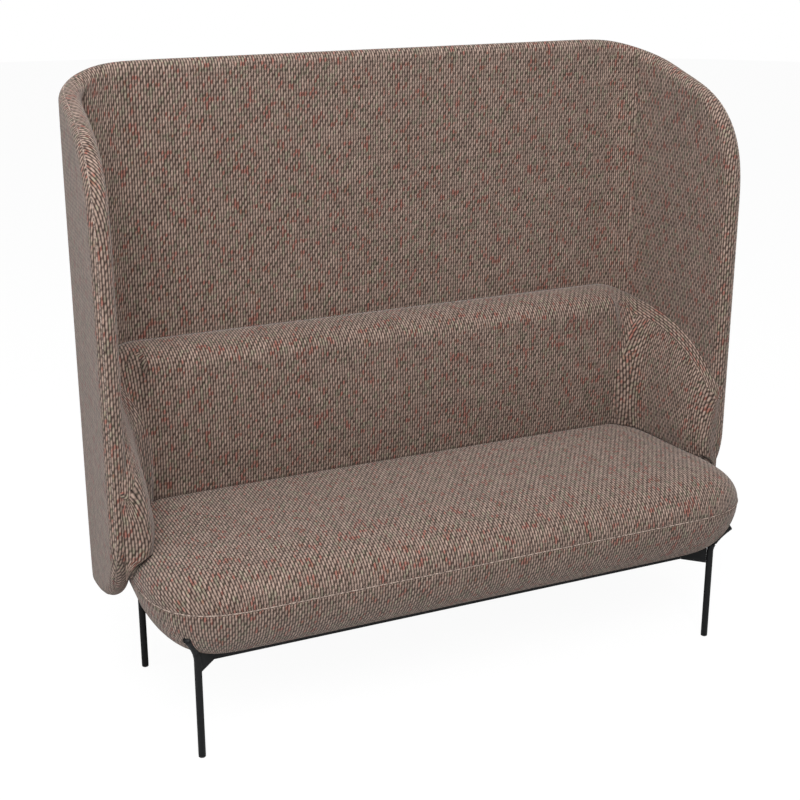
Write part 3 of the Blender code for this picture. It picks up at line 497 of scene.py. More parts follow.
def crease_seam(name, side):
    """The sewn line in the shell's inner corner, left for side -1 and right for 1: a thin tube at
    the bottom of the crease, from the rim down behind the low back."""
    point, normal = plan_at(np.array([side * CREASE_PATH]))
    top = SHELL_HEIGHT - HALF_SHELL - top_fall(CREASE_PATH)
    height = np.linspace(top - CREASE_START, SEAT_TOP, CREASE_STEPS)
    below = np.sin(np.clip((top - height) / CREASE_FADE, 0, 1) * math.pi / 2)
    depth = HALF_SHELL + settings().shell_puff - (CREASE_DEPTH + STITCH_DEPTH) * below
    return welt(name, lift(point - normal * depth[:, None], height), STITCH_RADIUS)


def welt(name, path, radius, closed=False):
    """A cord along a path, whose weave runs round it and along it."""
    rings = tube(path, radius, TUBE_SIDES, closed=closed)
    along = lengths(np.concatenate((path, path[:1])) if closed else path)
    if not closed:
        along = np.concatenate((along[:1], along, along[-1:]))
    turn = np.linspace(0, 2 * math.pi * radius, TUBE_SIDES + 1) + WELT_TWIST * along[:, None]
    return ring_piece(name, rings, np.stack(np.broadcast_arrays(turn, along[:, None]), axis=-1))


# Seat

def seat_loop(inset):
    """The seat's outline in plan, inset from its widest line, from the back's middle clockwise.

    It follows the shell's inside at the back, round the rear corners and along the wings, turns the
    front corner on a superellipse's quarter and runs straight along the front.
    """
    back, arc, flank, corner, front = SEAT_COUNTS
    depth = INNER_DEPTH + inset
    centre, radius, along = corner_centre(depth)
    share = np.linspace(0, 1, back + 1)[:-1, None]
    half = [np.concatenate((centre[0] * share, np.full_like(share, BACK_LINE_Y - depth)), axis=1)]
    turn = np.linspace(0, TURN, arc + 1)
    half.append(centre + np.stack((np.sin(turn), np.cos(turn)), axis=1) * radius)
    side_front = FRONT_Y + SEAT_CORNER_DEPTH
    reach = (BACK_LINE_Y - side_front - WING_DIR[0] * INNER_DEPTH) / WING_OUT[0]
    share = np.linspace(0, 1, flank + 1)[1:, None]
    half.append(CORNER - WING_OUT * depth + WING_DIR * (along + (reach - along) * share))
    start = half[-1][-1]
    over, down = quarter(corner, SEAT_CORNER_EXPONENT + SEAT_CORNER_SQUARING * max(inset, 0.0) ** 1.5)
    radius = SEAT_CORNER_DEPTH - inset
    half.append(start - radius * np.stack((over, down), axis=1)[1:])
    end = half[-1][-1]
    share = np.linspace(1, 0, front + 1)[1:, None]
    half.append(np.concatenate((end[0] * share, np.full_like(share, end[1])), axis=1))
    half = np.concatenate(half)
    return np.concatenate((half, half[::-1][1:-1] * (-1, 1)))


def seat_height(inset):
    """Height of the seat's top over a point inset from its widest line: a superellipse's quarter."""
    share = np.clip(1 - inset / SHOULDER_INSET, 0, 1)
    return SEAM_HEIGHT + SEAT_ABOVE_SEAM * (1 - share ** SHOULDER_EXPONENT) ** (1 / SHOULDER_EXPONENT)


def seat_top(name):
    """The seat's upper fabric: a crowned top and the shoulder that rolls down to the seam.

    The top's height is h + c (1 - u^4)(1 - v^2). The shoulder is a superellipse's quarter carried
    round the outline. The weave is flat on the top, and the shoulder's arc length goes outwards.
    """
    back, arc, flank, corner, front = SEAT_COUNTS
    across, up = 2 * (front + corner // 2), arc // 2 + flank + corner // 2
    over, rise = quarter(SHOULDER_STEPS, SHOULDER_EXPONENT)
    insets = SHOULDER_INSET * over
    heights = SEAM_HEIGHT + SEAT_ABOVE_SEAM * rise + SEAM_OPENING * (1 - over) ** 8
    loops = np.stack([seat_loop(inset) for inset in insets])
    rings = lift(loops, heights[:, None])[::-1]
    front_corner = back + arc + flank + corner // 2
    rings = np.roll(rings[:, ::-1], 1 - front_corner, axis=1)
    grid = coons(rings[0], across, up)
    u = np.linspace(-1, 1, across + 1)[:, None]
    v = np.linspace(-1, 1, up + 1)[None, :]
    grid[..., 2] += (SEAT_CROWN + settings().seat_puff) * (1 - u ** 4) * (1 - v ** 2)
    out = rings[4, :, :2] - rings[0, :, :2]
    out /= np.linalg.norm(out, axis=1, keepdims=True)
    ring_weave = rings[0, :, :2] + out * lengths(rings)[..., None]
    ring_weave = np.concatenate((ring_weave, ring_weave[-1:] + out * HEM_WIDTH))
    hem = rings[-1:] - lift(out, 0.0) * HEM_WIDTH - UP * HEM_DROP
    return make_piece(name, *panel(grid, np.concatenate((rings, hem)), grid[..., :2], ring_weave))


def seat_lower(name):
    """The seat's lower fabric, from the seam down and under to the board: the undercut's section, a
    superellipse's quarter, carried round the outline. The weave's columns stand square to the seam."""
    over, down = quarter(SHOULDER_STEPS, UNDERCUT_EXPONENT)
    insets = UNDERCUT_INSET * over
    heights = SEAM_HEIGHT - SEAT_BELOW_SEAM * down - SEAM_OPENING * (1 - over) ** 8
    rings = np.stack([lift(seat_loop(inset), height) for inset, height in zip(insets, heights)])
    tuck = lift(seat_loop(UNDERCUT_INSET + COVER_TUCK), SEAT_BOTTOM)
    inward = -rings[:1] * (1, 1, 0)
    inward /= np.linalg.norm(inward, axis=-1, keepdims=True)
    rings = np.concatenate((rings[:1] + inward * HEM_WIDTH + UP * HEM_DROP, rings, tuck[None]))
    around = lengths(np.concatenate((rings[1], rings[1, :1])))
    fall = lengths(rings)
    fall = np.concatenate((fall, fall[:, :1]), axis=1)
    return backing(ring_piece(name, rings, np.stack(np.broadcast_arrays(-around, -fall), axis=-1)))


def seat_welt(name):
    """The cord in the seat's seam, along the part that stands in front of the shell."""
    loop = seat_loop(WELT_SINK)
    limit = (CORNER + WING_DIR * WING_REACH)[1] - 2 * PIPING_RADIUS
    loop = loop[loop[:, 1] < limit]
    return welt(name, lift(loop, SEAM_HEIGHT), WELT_RADIUS)


# Low back and arms

def arm_depth(share, distance):
    """Thickness of the arm: it slims as e^-(s/k)^1.3 and its front is a blunt superellipse."""
    slim = PAD_ARM_DEPTH + (PAD_FOLD_DEPTH - PAD_ARM_DEPTH) * np.exp(-(share / PAD_ARM_SLIMMING) ** 1.3)
    nose = np.clip(1 - (PAD_REACH - distance) / PAD_NOSE_LENGTH, 0, 1)
    level = (1 - nose ** PAD_NOSE_EXPONENT) ** (1 / PAD_NOSE_EXPONENT)
    return slim * (PAD_NOSE_BLUNT + (1 - PAD_NOSE_BLUNT) * level)


def arm_fall(along):
    """Share of its height that the arm's top keeps: (1 - s^n)^(1/n)."""
    share = along / (PAD_REACH + PAD_FALL_MARGIN)
    return (1 - share ** PAD_FALL_EXPONENT) ** (1 / PAD_FALL_EXPONENT)


def pad_columns():
    """Half of the pad, from its middle to the arm's front: rear and front plan points, height of the
    crease against the shell, height of the top's rounding, and how far a column belongs to the arm.

    At the arm's front the rear points follow the wing's rim round, so the arm laps over it.
    """
    back, fold, arm = PAD_COUNTS
    rear_depth = HALF_SHELL + FIT_GAP
    rear_centre, rear_radius, rear_along = corner_centre(rear_depth)
    fold_back = HALF_SHELL + PAD_BACK_DEPTH + PAD_FOLD_RADIUS
    fold_arm = HALF_SHELL + PAD_FOLD_DEPTH + PAD_FOLD_RADIUS
    fold_along = (fold_back - WING_DIR[0] * fold_arm) / WING_OUT[0]
    centre = CORNER - WING_OUT * fold_arm + WING_DIR * fold_along

    share = np.linspace(0, 1, back + 1)[:-1]
    flat = np.ones_like(share)
    rear = [np.stack((rear_centre[0] * share, (BACK_LINE_Y - rear_depth) * flat), axis=1)]
    front = [np.stack((centre[0] * share, (centre[1] + PAD_FOLD_RADIUS) * flat), axis=1)]
    crease, edge, part = [PAD_HEIGHT * flat], [PAD_BACK_EDGE * flat], [0 * flat]

    share = np.linspace(0, 1, fold + 1)
    turn = np.stack((np.sin(TURN * share), np.cos(TURN * share)), axis=1)
    rear.append(rear_centre + turn * rear_radius)
    front.append(centre + turn * PAD_FOLD_RADIUS)
    crease.append(PAD_HEIGHT - PAD_ARM_DROP * (1 - np.cos(math.pi * share)) / 2)
    edge.append(PAD_BACK_EDGE + (PAD_ARM_EDGE - PAD_BACK_EDGE) * share)
    part.append(share)

    share = np.sin(np.linspace(0, math.pi / 2, arm + 1)[1:])
    distance = fold_along + (PAD_REACH - fold_along) * share
    depth = HALF_SHELL + arm_depth(share, distance)
    along = rear_along + (PAD_REACH - rear_along) * share
    lap = np.minimum(along, SHEET_REACH + rear_depth * math.sin(NOSE_LAP))
    inside = np.sqrt(rear_depth ** 2 - np.maximum(lap - SHEET_REACH, 0) ** 2)
    rear.append(CORNER - WING_OUT * inside[:, None] + WING_DIR * lap[:, None])
    front.append(CORNER - WING_OUT * depth[:, None] + WING_DIR * distance[:, None])
    low = PAD_HEIGHT - PAD_ARM_DROP - PAD_ARM_FALL
    crease.append(low + PAD_ARM_FALL * arm_fall(along) / arm_fall(rear_along))
    edge.append(np.full(arm, PAD_ARM_EDGE))
    part.append(np.full(arm, 1.0))
    return [np.concatenate(values) for values in (rear, front, crease, edge, part)]


def pad_half():
    """Points of half the pad, one closed section for each column, how far each lies across its
    section, and how far each column belongs to the arm.

    A section runs up the rear, over the top on a superellipse's quarter, down the front with a
    slight swell, and back under along the seat's top. The arm's front sinks at its foot.
    """
    rear_steps, top_steps, front_steps, under_steps = PAD_SECTION
    rear, front, crease, edge, part = pad_columns()
    span = np.linalg.norm(front - rear, axis=1)
    rear_foot = seat_height(span * PAD_REAR_LIFT) + PAD_SEAT_GAP
    front_foot = seat_height(span) + PAD_SEAT_GAP
    drop = np.minimum(edge, (crease - front_foot) * PAD_EDGE_SHARE)
    across, height = [], []
    share = np.linspace(0, 1, rear_steps + 1)[:-1]
    across.append(np.zeros((len(rear), rear_steps)))
    height.append(rear_foot[:, None] + (crease - rear_foot)[:, None] * share)
    exponent = (PAD_EDGE_EXPONENT + (PAD_ARM_EXPONENT - PAD_EDGE_EXPONENT) * part)[:, None]
    down, over = quarter(top_steps, exponent)
    across.append(over)
    height.append(crease[:, None] - drop[:, None] * down)
    share = np.linspace(0, 1, front_steps + 1)[1:]
    swell = PAD_CROWN * np.minimum(span / PAD_ARM_DEPTH, 1) ** 2 / span
    across.append(1 + swell[:, None] * np.sin(math.pi * share))
    wall_top = crease - drop
    height.append(wall_top[:, None] + (front_foot - wall_top)[:, None] * share)
    share = np.linspace(1, PAD_REAR_LIFT, under_steps + 1)[1:]
    across.append(np.broadcast_to(share, (len(rear), under_steps)))
    height.append(seat_height(span[:, None] * share) + PAD_SEAT_GAP)
    across = np.concatenate(across, axis=1)
    height = np.concatenate(height, axis=1)
    lead = np.clip((rear - CORNER) @ WING_DIR / PAD_REACH, 0, 1)[:, None]
    foot = np.clip(1 - (height - height[:, -1:]) / NOSE_FOOT, 0, 1)
    plan = rear[:, None] + (front - rear)[:, None] * across[..., None]
    return lift(plan, height - NOSE_SETTLE * lead ** 8 * foot), across, part


def pad_nose(last):
    """Rings that carry the arm's front across to the wing's rim: each goes its even share s of the
    way sideways, and back by (1 - cos(pi s)) / 2 of the lead."""
    share = np.linspace(0, 1, NOSE_STEPS + 1)[1:, None, None]
    offset = last[:, :2] - last[0, :2]
    sideways = (offset @ WING_OUT)[:, None] * WING_OUT
    forward = (offset @ WING_DIR)[:, None] * WING_DIR
    plan = last[0, :2] + (1 - share) * sideways + (1 + np.cos(math.pi * share)) / 2 * forward
    return lift(plan, last[:, 2])


def pad_lays(half, part):
    """The weave's place at each of the pad's points, in each of the three ways that it lies.

    The back and the strip on top of the arms are cut as one, and its columns run front to back
    over the top. The inner corner keeps the back's columns, upright at their distance to the side.
    The arms' inner faces are panels of their own, whose columns stand upright at their distance
    forwards and go on round the arm's front.
    """
    rear_steps, wall = PAD_SECTION[0], sum(PAD_SECTION[:2])
    fold = PAD_COUNTS[0]
    plan, height = half[..., :2], half[..., 2]
    arc = lengths(np.swapaxes(half, 0, 1)).T
    arc = arc - arc[:, rear_steps:rear_steps + 1]
    extra = np.abs(arc) - np.linalg.norm(plan - plan[:, rear_steps:rear_steps + 1], axis=-1)
    belongs = part[:, None] ** 2 * (3 - 2 * part[:, None])
    sideways = plan[..., 0] - CORNER[0]
    lateral = (plan - CORNER) @ WING_OUT
    forward = BACK_LINE_Y - plan[..., 1]
    section = plan[:, wall] - plan[:, 0]
    first_arm = int(np.argmax(np.abs(section @ WING_OUT) > np.abs(section @ WING_DIR)))
    slope = lengths(half) - forward
    slope = np.maximum(slope - slope[first_arm], 0)
    top_u = sideways + (lateral - sideways - extra) * belongs
    top_v = -forward - extra * (1 - belongs) - slope * belongs

    along_wing = (plan - CORNER) @ WING_DIR
    excess = lengths(plan[:, wall]) - along_wing[:, wall]
    face_u = along_wing + np.maximum(excess - excess[STRAIGHT_ARM], 0)[:, None] + ARM_WEAVE_START
    face_v = height[:, wall:wall + 1] + arc[:, wall:wall + 1] - arc
    face_v[:, wall + 1:] = height[:, wall + 1:]
    face_v[:STRAIGHT_ARM] = face_v[STRAIGHT_ARM] + height[:STRAIGHT_ARM] - height[STRAIGHT_ARM]
    corner_v = top_v[fold] + height - height[fold]
    return [np.stack(lay, axis=-1) for lay in ((top_u, top_v), (sideways, corner_v), (face_u, face_v))]


def pad_cover(name):
    """The low back and both arms in one closed form, each face with the weave that suits its place.

    Below the top strip, a face round the inner corner takes the corner's weave where it looks
    forwards, and the arm's where it looks sideways.
    """
    half, across, part = pad_half()
    rear_steps, wall = PAD_SECTION[0], sum(PAD_SECTION[:2])
    boundary = rear_steps + int(np.argmin(np.abs(across[-1, rear_steps:wall] - STRIP_SHARE)))
    nose = pad_nose(half[-1])
    half = np.concatenate((half, nose))
    part = np.concatenate((part, np.ones(len(nose))))
    count = half.shape[1]
    points = half.reshape(-1, 3)
    cells = quads(len(half), count, close=True)
    around = np.append(np.arange(count), 0)
    open_cells = quads(len(half), count + 1)
    top, corner, face = (lay[:, around].reshape(-1, 2)[open_cells] for lay in pad_lays(half, part))

    rows, stations = np.divmod(np.arange(len(cells)), count)
    spot = points[cells]
    facing = np.cross(spot[:, 2] - spot[:, 0], spot[:, 3] - spot[:, 1])[:, :2]
    on_arm = np.abs(facing @ WING_OUT) > np.abs(facing @ WING_DIR)
    on_arm |= rows >= STRAIGHT_ARM
    weave = np.where(on_arm[:, None, None], face, corner)
    in_front = (rows >= PAD_COUNTS[0]) & (stations >= boundary)
    weave = np.where(in_front[:, None, None], weave, top)
    faces = np.concatenate((cells, cells[:, ::-1] + len(points)))
    points = np.concatenate((points, points * (-1, 1, 1)))
    weave = np.concatenate((weave, weave[:, ::-1] * (-1, 1)))
    return make_piece(name, points, faces, weave)


# Steel frame

def corners():
    """Each leg's name, side and way back, where -1 is left or front and 1 is right or rear."""
    for way, depth_name in ((-1, "front"), (1, "rear")):
        for side, side_name in ((-1, "left"), (1, "right")):
            yield depth_name + "_" + side_name, side, way


def leg_path(side, way):
    """The rod's line: straight up, then towards the seat's corner as r s^n while it rises evenly."""
    y = DEPTH / 2 - LEG_REAR_SETBACK if way > 0 else -DEPTH / 2 + LEG_FRONT_SETBACK
    low, bend = GLIDE_HEIGHT + FIT_GAP, SEAT_BOTTOM + LEG_BEND_ABOVE
    straight, bent = LEG_POINTS
    share = np.linspace(0, 1, bent + 1)[1:]
    reach = np.append(np.zeros(straight), LEG_BEND_REACH * share ** LEG_BEND_EXPONENT) / math.sqrt(2)
    rise = np.append(np.linspace(low, bend, straight), bend + LEG_BEND_RISE * share)
    return np.stack((side * (LEG_X + reach), y + way * reach, rise), axis=1)


def rod(name, side, way):
    """A leg: a round rod with an eased foot, carried along its bent line."""
    path = leg_path(side, way)
    path = np.concatenate((path[:1], path[:1] + UP * FOOT_BEVEL, path[1:]))
    radius = np.full(len(path), LEG_RADIUS)
    radius[0] -= FOOT_BEVEL
    return ring_piece(name, tube(path, radius, ROD_SIDES))


# Materials

class Nodes:
    """One material and short ways to add nodes to its tree, each of which returns an output."""

    def __init__(self, name):
        self.material = bpy.data.materials.new(name)
        self.material.use_nodes = True
        self.tree = self.material.node_tree
        self.shader = self.tree.nodes["Principled BSDF"]
        self.output = self.tree.nodes["Material Output"]

    def set(self, socket, value):
        """Give a socket a link or a plain value."""
        if isinstance(value, bpy.types.NodeSocket):
            self.tree.links.new(value, socket)
        elif isinstance(value, (tuple, list)) and len(value) == 3 and socket.type == "RGBA":
            socket.default_value = (*value, 1.0)
        else:
            socket.default_value = value

    def fix(self, **values):
        """Give the shader's sockets plain values, each by its name with _ for spaces."""
        for name, value in values.items():
            self.shader.inputs[name.replace("_", " ")].default_value = value

    def paint(self, colour, roughness=None):
        """Link the shader's colour and, where one is given, its roughness."""
        self.set(self.shader.inputs["Base Color"], colour)
        if roughness is not None:
            self.set(self.shader.inputs["Roughness"], roughness)

    def math(self, operation, first, second=None, third=None, clamp=False):
        """One arithmetic step on up to three sockets or plain values."""
        node = self.tree.nodes.new("ShaderNodeMath")
        node.operation = operation
        node.use_clamp = clamp
        for socket, value in zip(node.inputs, (first, second, third)):
            if value is not None:
                self.set(socket, value)
        return node.outputs[0]

    def mix(self, share, first, second, blend="MIX"):
        """Two colours mixed by a share of the second."""
        node = self.tree.nodes.new("ShaderNodeMix")
        node.data_type = "RGBA"
        node.blend_type = blend
        self.set(node.inputs["Factor"], share)
        self.set(node.inputs[6], first)
        self.set(node.inputs[7], second)
        return node.outputs[2]

    def noise(self, vector, scale, detail=2.0, roughness=0.5, seed=0.0):
        """Noise from 0 to 1 at a place, with another pattern for another seed."""
        node = self.tree.nodes.new("ShaderNodeTexNoise")
        node.noise_dimensions = "4D"
        self.set(node.inputs["Vector"], vector)
        node.inputs["W"].default_value = seed
        node.inputs["Scale"].default_value = scale
        node.inputs["Detail"].default_value = detail
        node.inputs["Roughness"].default_value = roughness
        return node.outputs["Fac"]

    def step(self, value, low, high, to_low=0.0, to_high=1.0):
        """Smooth step of a value between two limits."""
        node = self.tree.nodes.new("ShaderNodeMapRange")
        node.interpolation_type = "SMOOTHSTEP"
        self.set(node.inputs["Value"], value)
        for name, limit in (("From Min", low), ("From Max", high), ("To Min", to_low), ("To Max", to_high)):
            node.inputs[name].default_value = limit
        return node.outputs["Result"]

    def point(self, x, y, z=0.0):
        """A vector from its three parts."""
        node = self.tree.nodes.new("ShaderNodeCombineXYZ")
        for socket, value in zip(node.inputs, (x, y, z)):
            self.set(socket, value)
        return node.outputs[0]

    def split(self, vector):
        """A vector's three parts."""
        node = self.tree.nodes.new("ShaderNodeSeparateXYZ")
        self.set(node.inputs[0], vector)
        return node.outputs

    def object_point(self):
        """The place on the object, in metres."""
        return self.tree.nodes.new("ShaderNodeTexCoord").outputs["Object"]

    def bump(self, height, strength, distance):
        """Bend the shader's normal by a height that counts up to the distance."""
        node = self.tree.nodes.new("ShaderNodeBump")
        node.inputs["Strength"].default_value = strength
        node.inputs["Distance"].default_value = distance
        self.set(node.inputs["Height"], height)
        self.set(self.shader.inputs["Normal"], node.outputs["Normal"])


def woven_fabric():
    """Coarse melange weave: ribs of yarn in columns, with painted shade in the deep gaps between them.

    Each rib is a chain of leaning floats, light and dark in turn, whose order swaps from rib to
    rib. Every float has its own lightness, and some are rust or sage, a little in clusters.
    """
    look = settings()
    n = Nodes("woven_fabric")
    place = n.tree.nodes.new("ShaderNodeUVMap")
    place.uv_map = "weave"
    uv = place.outputs["UV"]
    u, v, _ = n.split(uv)
    wander = n.math("MULTIPLY_ADD", n.noise(uv, 45.0, 1.0, seed=1.0), 0.0020, -0.0010)
    wander_v = n.math("MULTIPLY_ADD", n.noise(uv, 38.0, 1.0, seed=2.0), 0.0036, -0.0018)
    column = n.math("DIVIDE", n.math("ADD", u, wander), look.column_pitch)
    row = n.math("DIVIDE", n.math("ADD", v, wander_v), look.float_length)
    number = n.math("FLOOR", column)
    across = n.math("SUBTRACT", n.math("FRACT", column), 0.5)
    lean = n.math("MULTIPLY", across, look.float_lean)
    phase = n.math("SUBTRACT", n.math("SUBTRACT", row, number), lean)
    wave = n.math("COSINE", n.math("MULTIPLY", phase, math.pi))
    cell = n.tree.nodes.new("ShaderNodeTexWhiteNoise")
    cell.noise_dimensions = "2D"
    n.set(cell.inputs["Vector"], n.point(number, n.math("FLOOR", n.math("ADD", phase, 0.5))))
    chance, hues = cell.outputs["Value"], n.split(cell.outputs["Color"])

    # The rib's profile shapes the bump and also sets where the painted shade of the gaps falls.
    rib = n.math("POWER", n.math("COSINE", n.math("MULTIPLY", across, math.pi)), look.gap_width)
    shut = n.math("MULTIPLY_ADD", wave, 0.10, 0.04)
    rib = n.math("MULTIPLY_ADD", n.math("SUBTRACT", 1.0, rib), shut, rib)
    beat = n.math("COSINE", n.math("MULTIPLY", row, 2 * math.pi))
    lightness = n.math("MULTIPLY_ADD", wave, look.float_contrast / 2, 0.5)
    lightness = n.math("ADD", lightness, n.math("MULTIPLY", beat, -look.row_contrast / 2))
    spread = n.math("MULTIPLY_ADD", chance, look.float_spread, -look.float_spread / 2)
    lightness = n.math("ADD", lightness, spread, clamp=True)
    threads = n.mix(lightness, tuple(look.dark_yarn), tuple(look.light_yarn))

    rust = n.math("ADD", n.noise(uv, 30.0, seed=5.0), n.math("MULTIPLY_ADD", hues[0], 0.70, -0.35))
    sage = n.math("ADD", n.noise(uv, 27.0, seed=6.0), n.math("MULTIPLY_ADD", hues[1], 0.70, -0.35))
    threads = n.mix(n.step(rust, 0.72, 0.86, 0.0, 0.85), threads, tuple(look.rust_yarn), "MULTIPLY")
    threads = n.mix(n.step(sage, 0.66, 0.80, 0.0, 0.90), threads, tuple(look.sage_yarn), "MULTIPLY")
    fibre = n.noise(uv, 900.0, 3.0, 0.6, seed=3.0)
    fuzz = n.math("MULTIPLY_ADD", fibre, 0.6, 0.7)
    threads = n.mix(1.0, threads, n.point(fuzz, fuzz, fuzz), "MULTIPLY")
    # The dark colour between the ribs is painted shade in the deep gaps between the columns.
    colour = n.mix(rib, tuple(look.gap_shade_colour), threads)
    patch = n.math("MULTIPLY_ADD", n.noise(uv, 5.0, 2.0, seed=8.0), 0.14, 0.93)
    colour = n.mix(1.0, colour, n.point(patch, patch, patch), "MULTIPLY")
    n.paint(colour)
    n.fix(Roughness=0.95, Specular_IOR_Level=0.2)
    n.fix(Sheen_Weight=0.22, Sheen_Roughness=0.5, Sheen_Tint=(0.95, 0.88, 0.84, 1.0))
    ply = n.math("SINE", n.math("MULTIPLY", n.math("ADD", v, n.math("MULTIPLY", u, 0.6)), 3600.0))
    height = n.math("ADD", rib, n.math("MULTIPLY", n.math("ABSOLUTE", wave), 0.35))
    height = n.math("ADD", height, n.math("MULTIPLY", ply, 0.05))
    height = n.math("ADD", height, n.math("MULTIPLY", fibre, 0.25))
    n.bump(height, 0.5, 0.0010)
    return n.material


def seam_yarn():
    """The pale twisted yarn that shows along the seams."""
    n = Nodes("seam_yarn")
    twist = n.noise(n.object_point(), 150.0, 2.0, seed=1.0)
    n.paint(n.mix(n.step(twist, 0.38, 0.62), (0.13, 0.092, 0.076), (0.40, 0.31, 0.26)))
    n.fix(Roughness=0.9)
    n.bump(twist, 0.4, 0.0004)
    return n.material


def powder_steel():
    """Black powder-coated steel: an even satin with a fine orange-peel texture."""
    n = Nodes("powder_steel")
    point = n.object_point()
    speck = n.noise(point, 2500.0, 2.0, seed=1.0)
    cloud = n.noise(point, 14.0, 2.0, seed=2.0)
    dark, light = (tuple(c * share for c in settings().steel_colour) for share in (0.85, 1.2))
    n.paint(n.mix(cloud, dark, light), roughness=n.math("MULTIPLY_ADD", cloud, 0.10, 0.42))
    n.fix(Specular_IOR_Level=0.25)
    n.bump(speck, 0.25, 0.0002)
    return n.material


def moulded_plastic():
    """Black moulded plastic of the glides, scuffed at the floor."""
    n = Nodes("moulded_plastic")
    point = n.object_point()
    scuff = n.step(n.split(point)[2], 0.0, 0.0035)
    grain = n.noise(point, 1800.0, 3.0, seed=1.0)
    colour = n.mix(n.math("MULTIPLY", scuff, 0.8), (0.035, 0.034, 0.033), (0.013, 0.013, 0.014))
    n.paint(colour, roughness=n.math("MULTIPLY_ADD", grain, 0.2, 0.5))
    n.bump(grain, 0.3, 0.0003)
    return n.material


def birch_plywood():
    """Plywood: long grain on the faces and thin plies on the edges."""
    n = Nodes("birch_plywood")
    point = n.object_point()
    x, y, z = n.split(point)
    grain = n.noise(n.point(n.math("MULTIPLY", x, 4.0), n.math("MULTIPLY", y, 90.0),
                            n.math("MULTIPLY", z, 90.0)), 1.5, 4.0, 0.6, seed=1.0)
    plies = n.math("SINE", n.math("MULTIPLY", z, 2 * math.pi / 0.003))
    colour = n.mix(n.step(grain, 0.3, 0.7), (0.36, 0.22, 0.11), (0.56, 0.39, 0.22))
    colour = n.mix(n.math("MULTIPLY_ADD", plies, 0.08, 0.08), colour, (0.22, 0.12, 0.06))
    n.paint(colour, roughness=n.math("MULTIPLY_ADD", grain, 0.2, 0.55))
    n.bump(grain, 0.3, 0.0004)
    return n.material


def bonded_lining():
    """Black bonded cloth of the hidden sheets, with its pressed dots."""
    n = Nodes("bonded_lining")
    point = n.object_point()
    x, y, _ = n.split(point)
    dots = n.math("MULTIPLY", n.math("SINE", n.math("MULTIPLY", x, 2100.0)),
                  n.math("SINE", n.math("MULTIPLY", y, 2100.0)))
    felt = n.noise(point, 700.0, 4.0, 0.7, seed=1.0)
    colour = n.mix(felt, (0.012, 0.012, 0.013), (0.045, 0.044, 0.046))
    n.paint(colour)
    n.fix(Roughness=0.95)
    n.bump(n.math("ADD", n.math("MULTIPLY", dots, 0.5), felt), 0.5, 0.0005)
    return n.material


def zinc_plate():
    """Zinc-plated screws: bright metal with faint cloudy patches."""
    n = Nodes("zinc_plate")
    point = n.object_point()
    cloud = n.noise(point, 260.0, 3.0, seed=1.0)
    n.paint(n.mix(cloud, (0.46, 0.48, 0.50), (0.68, 0.68, 0.66)),
            roughness=n.math("MULTIPLY_ADD", cloud, 0.25, 0.22))
    n.fix(Metallic=1.0)
    n.bump(cloud, 0.2, 0.0002)
    return n.material


def finish(piece, material):
    """Give a piece one material."""
    piece.data.materials.clear()
    piece.data.materials.append(material)
    return piece


def shared(name, maker):
    """The material of that name, made on first use."""
    return bpy.data.materials.get(name) or maker()


# Settings and operators

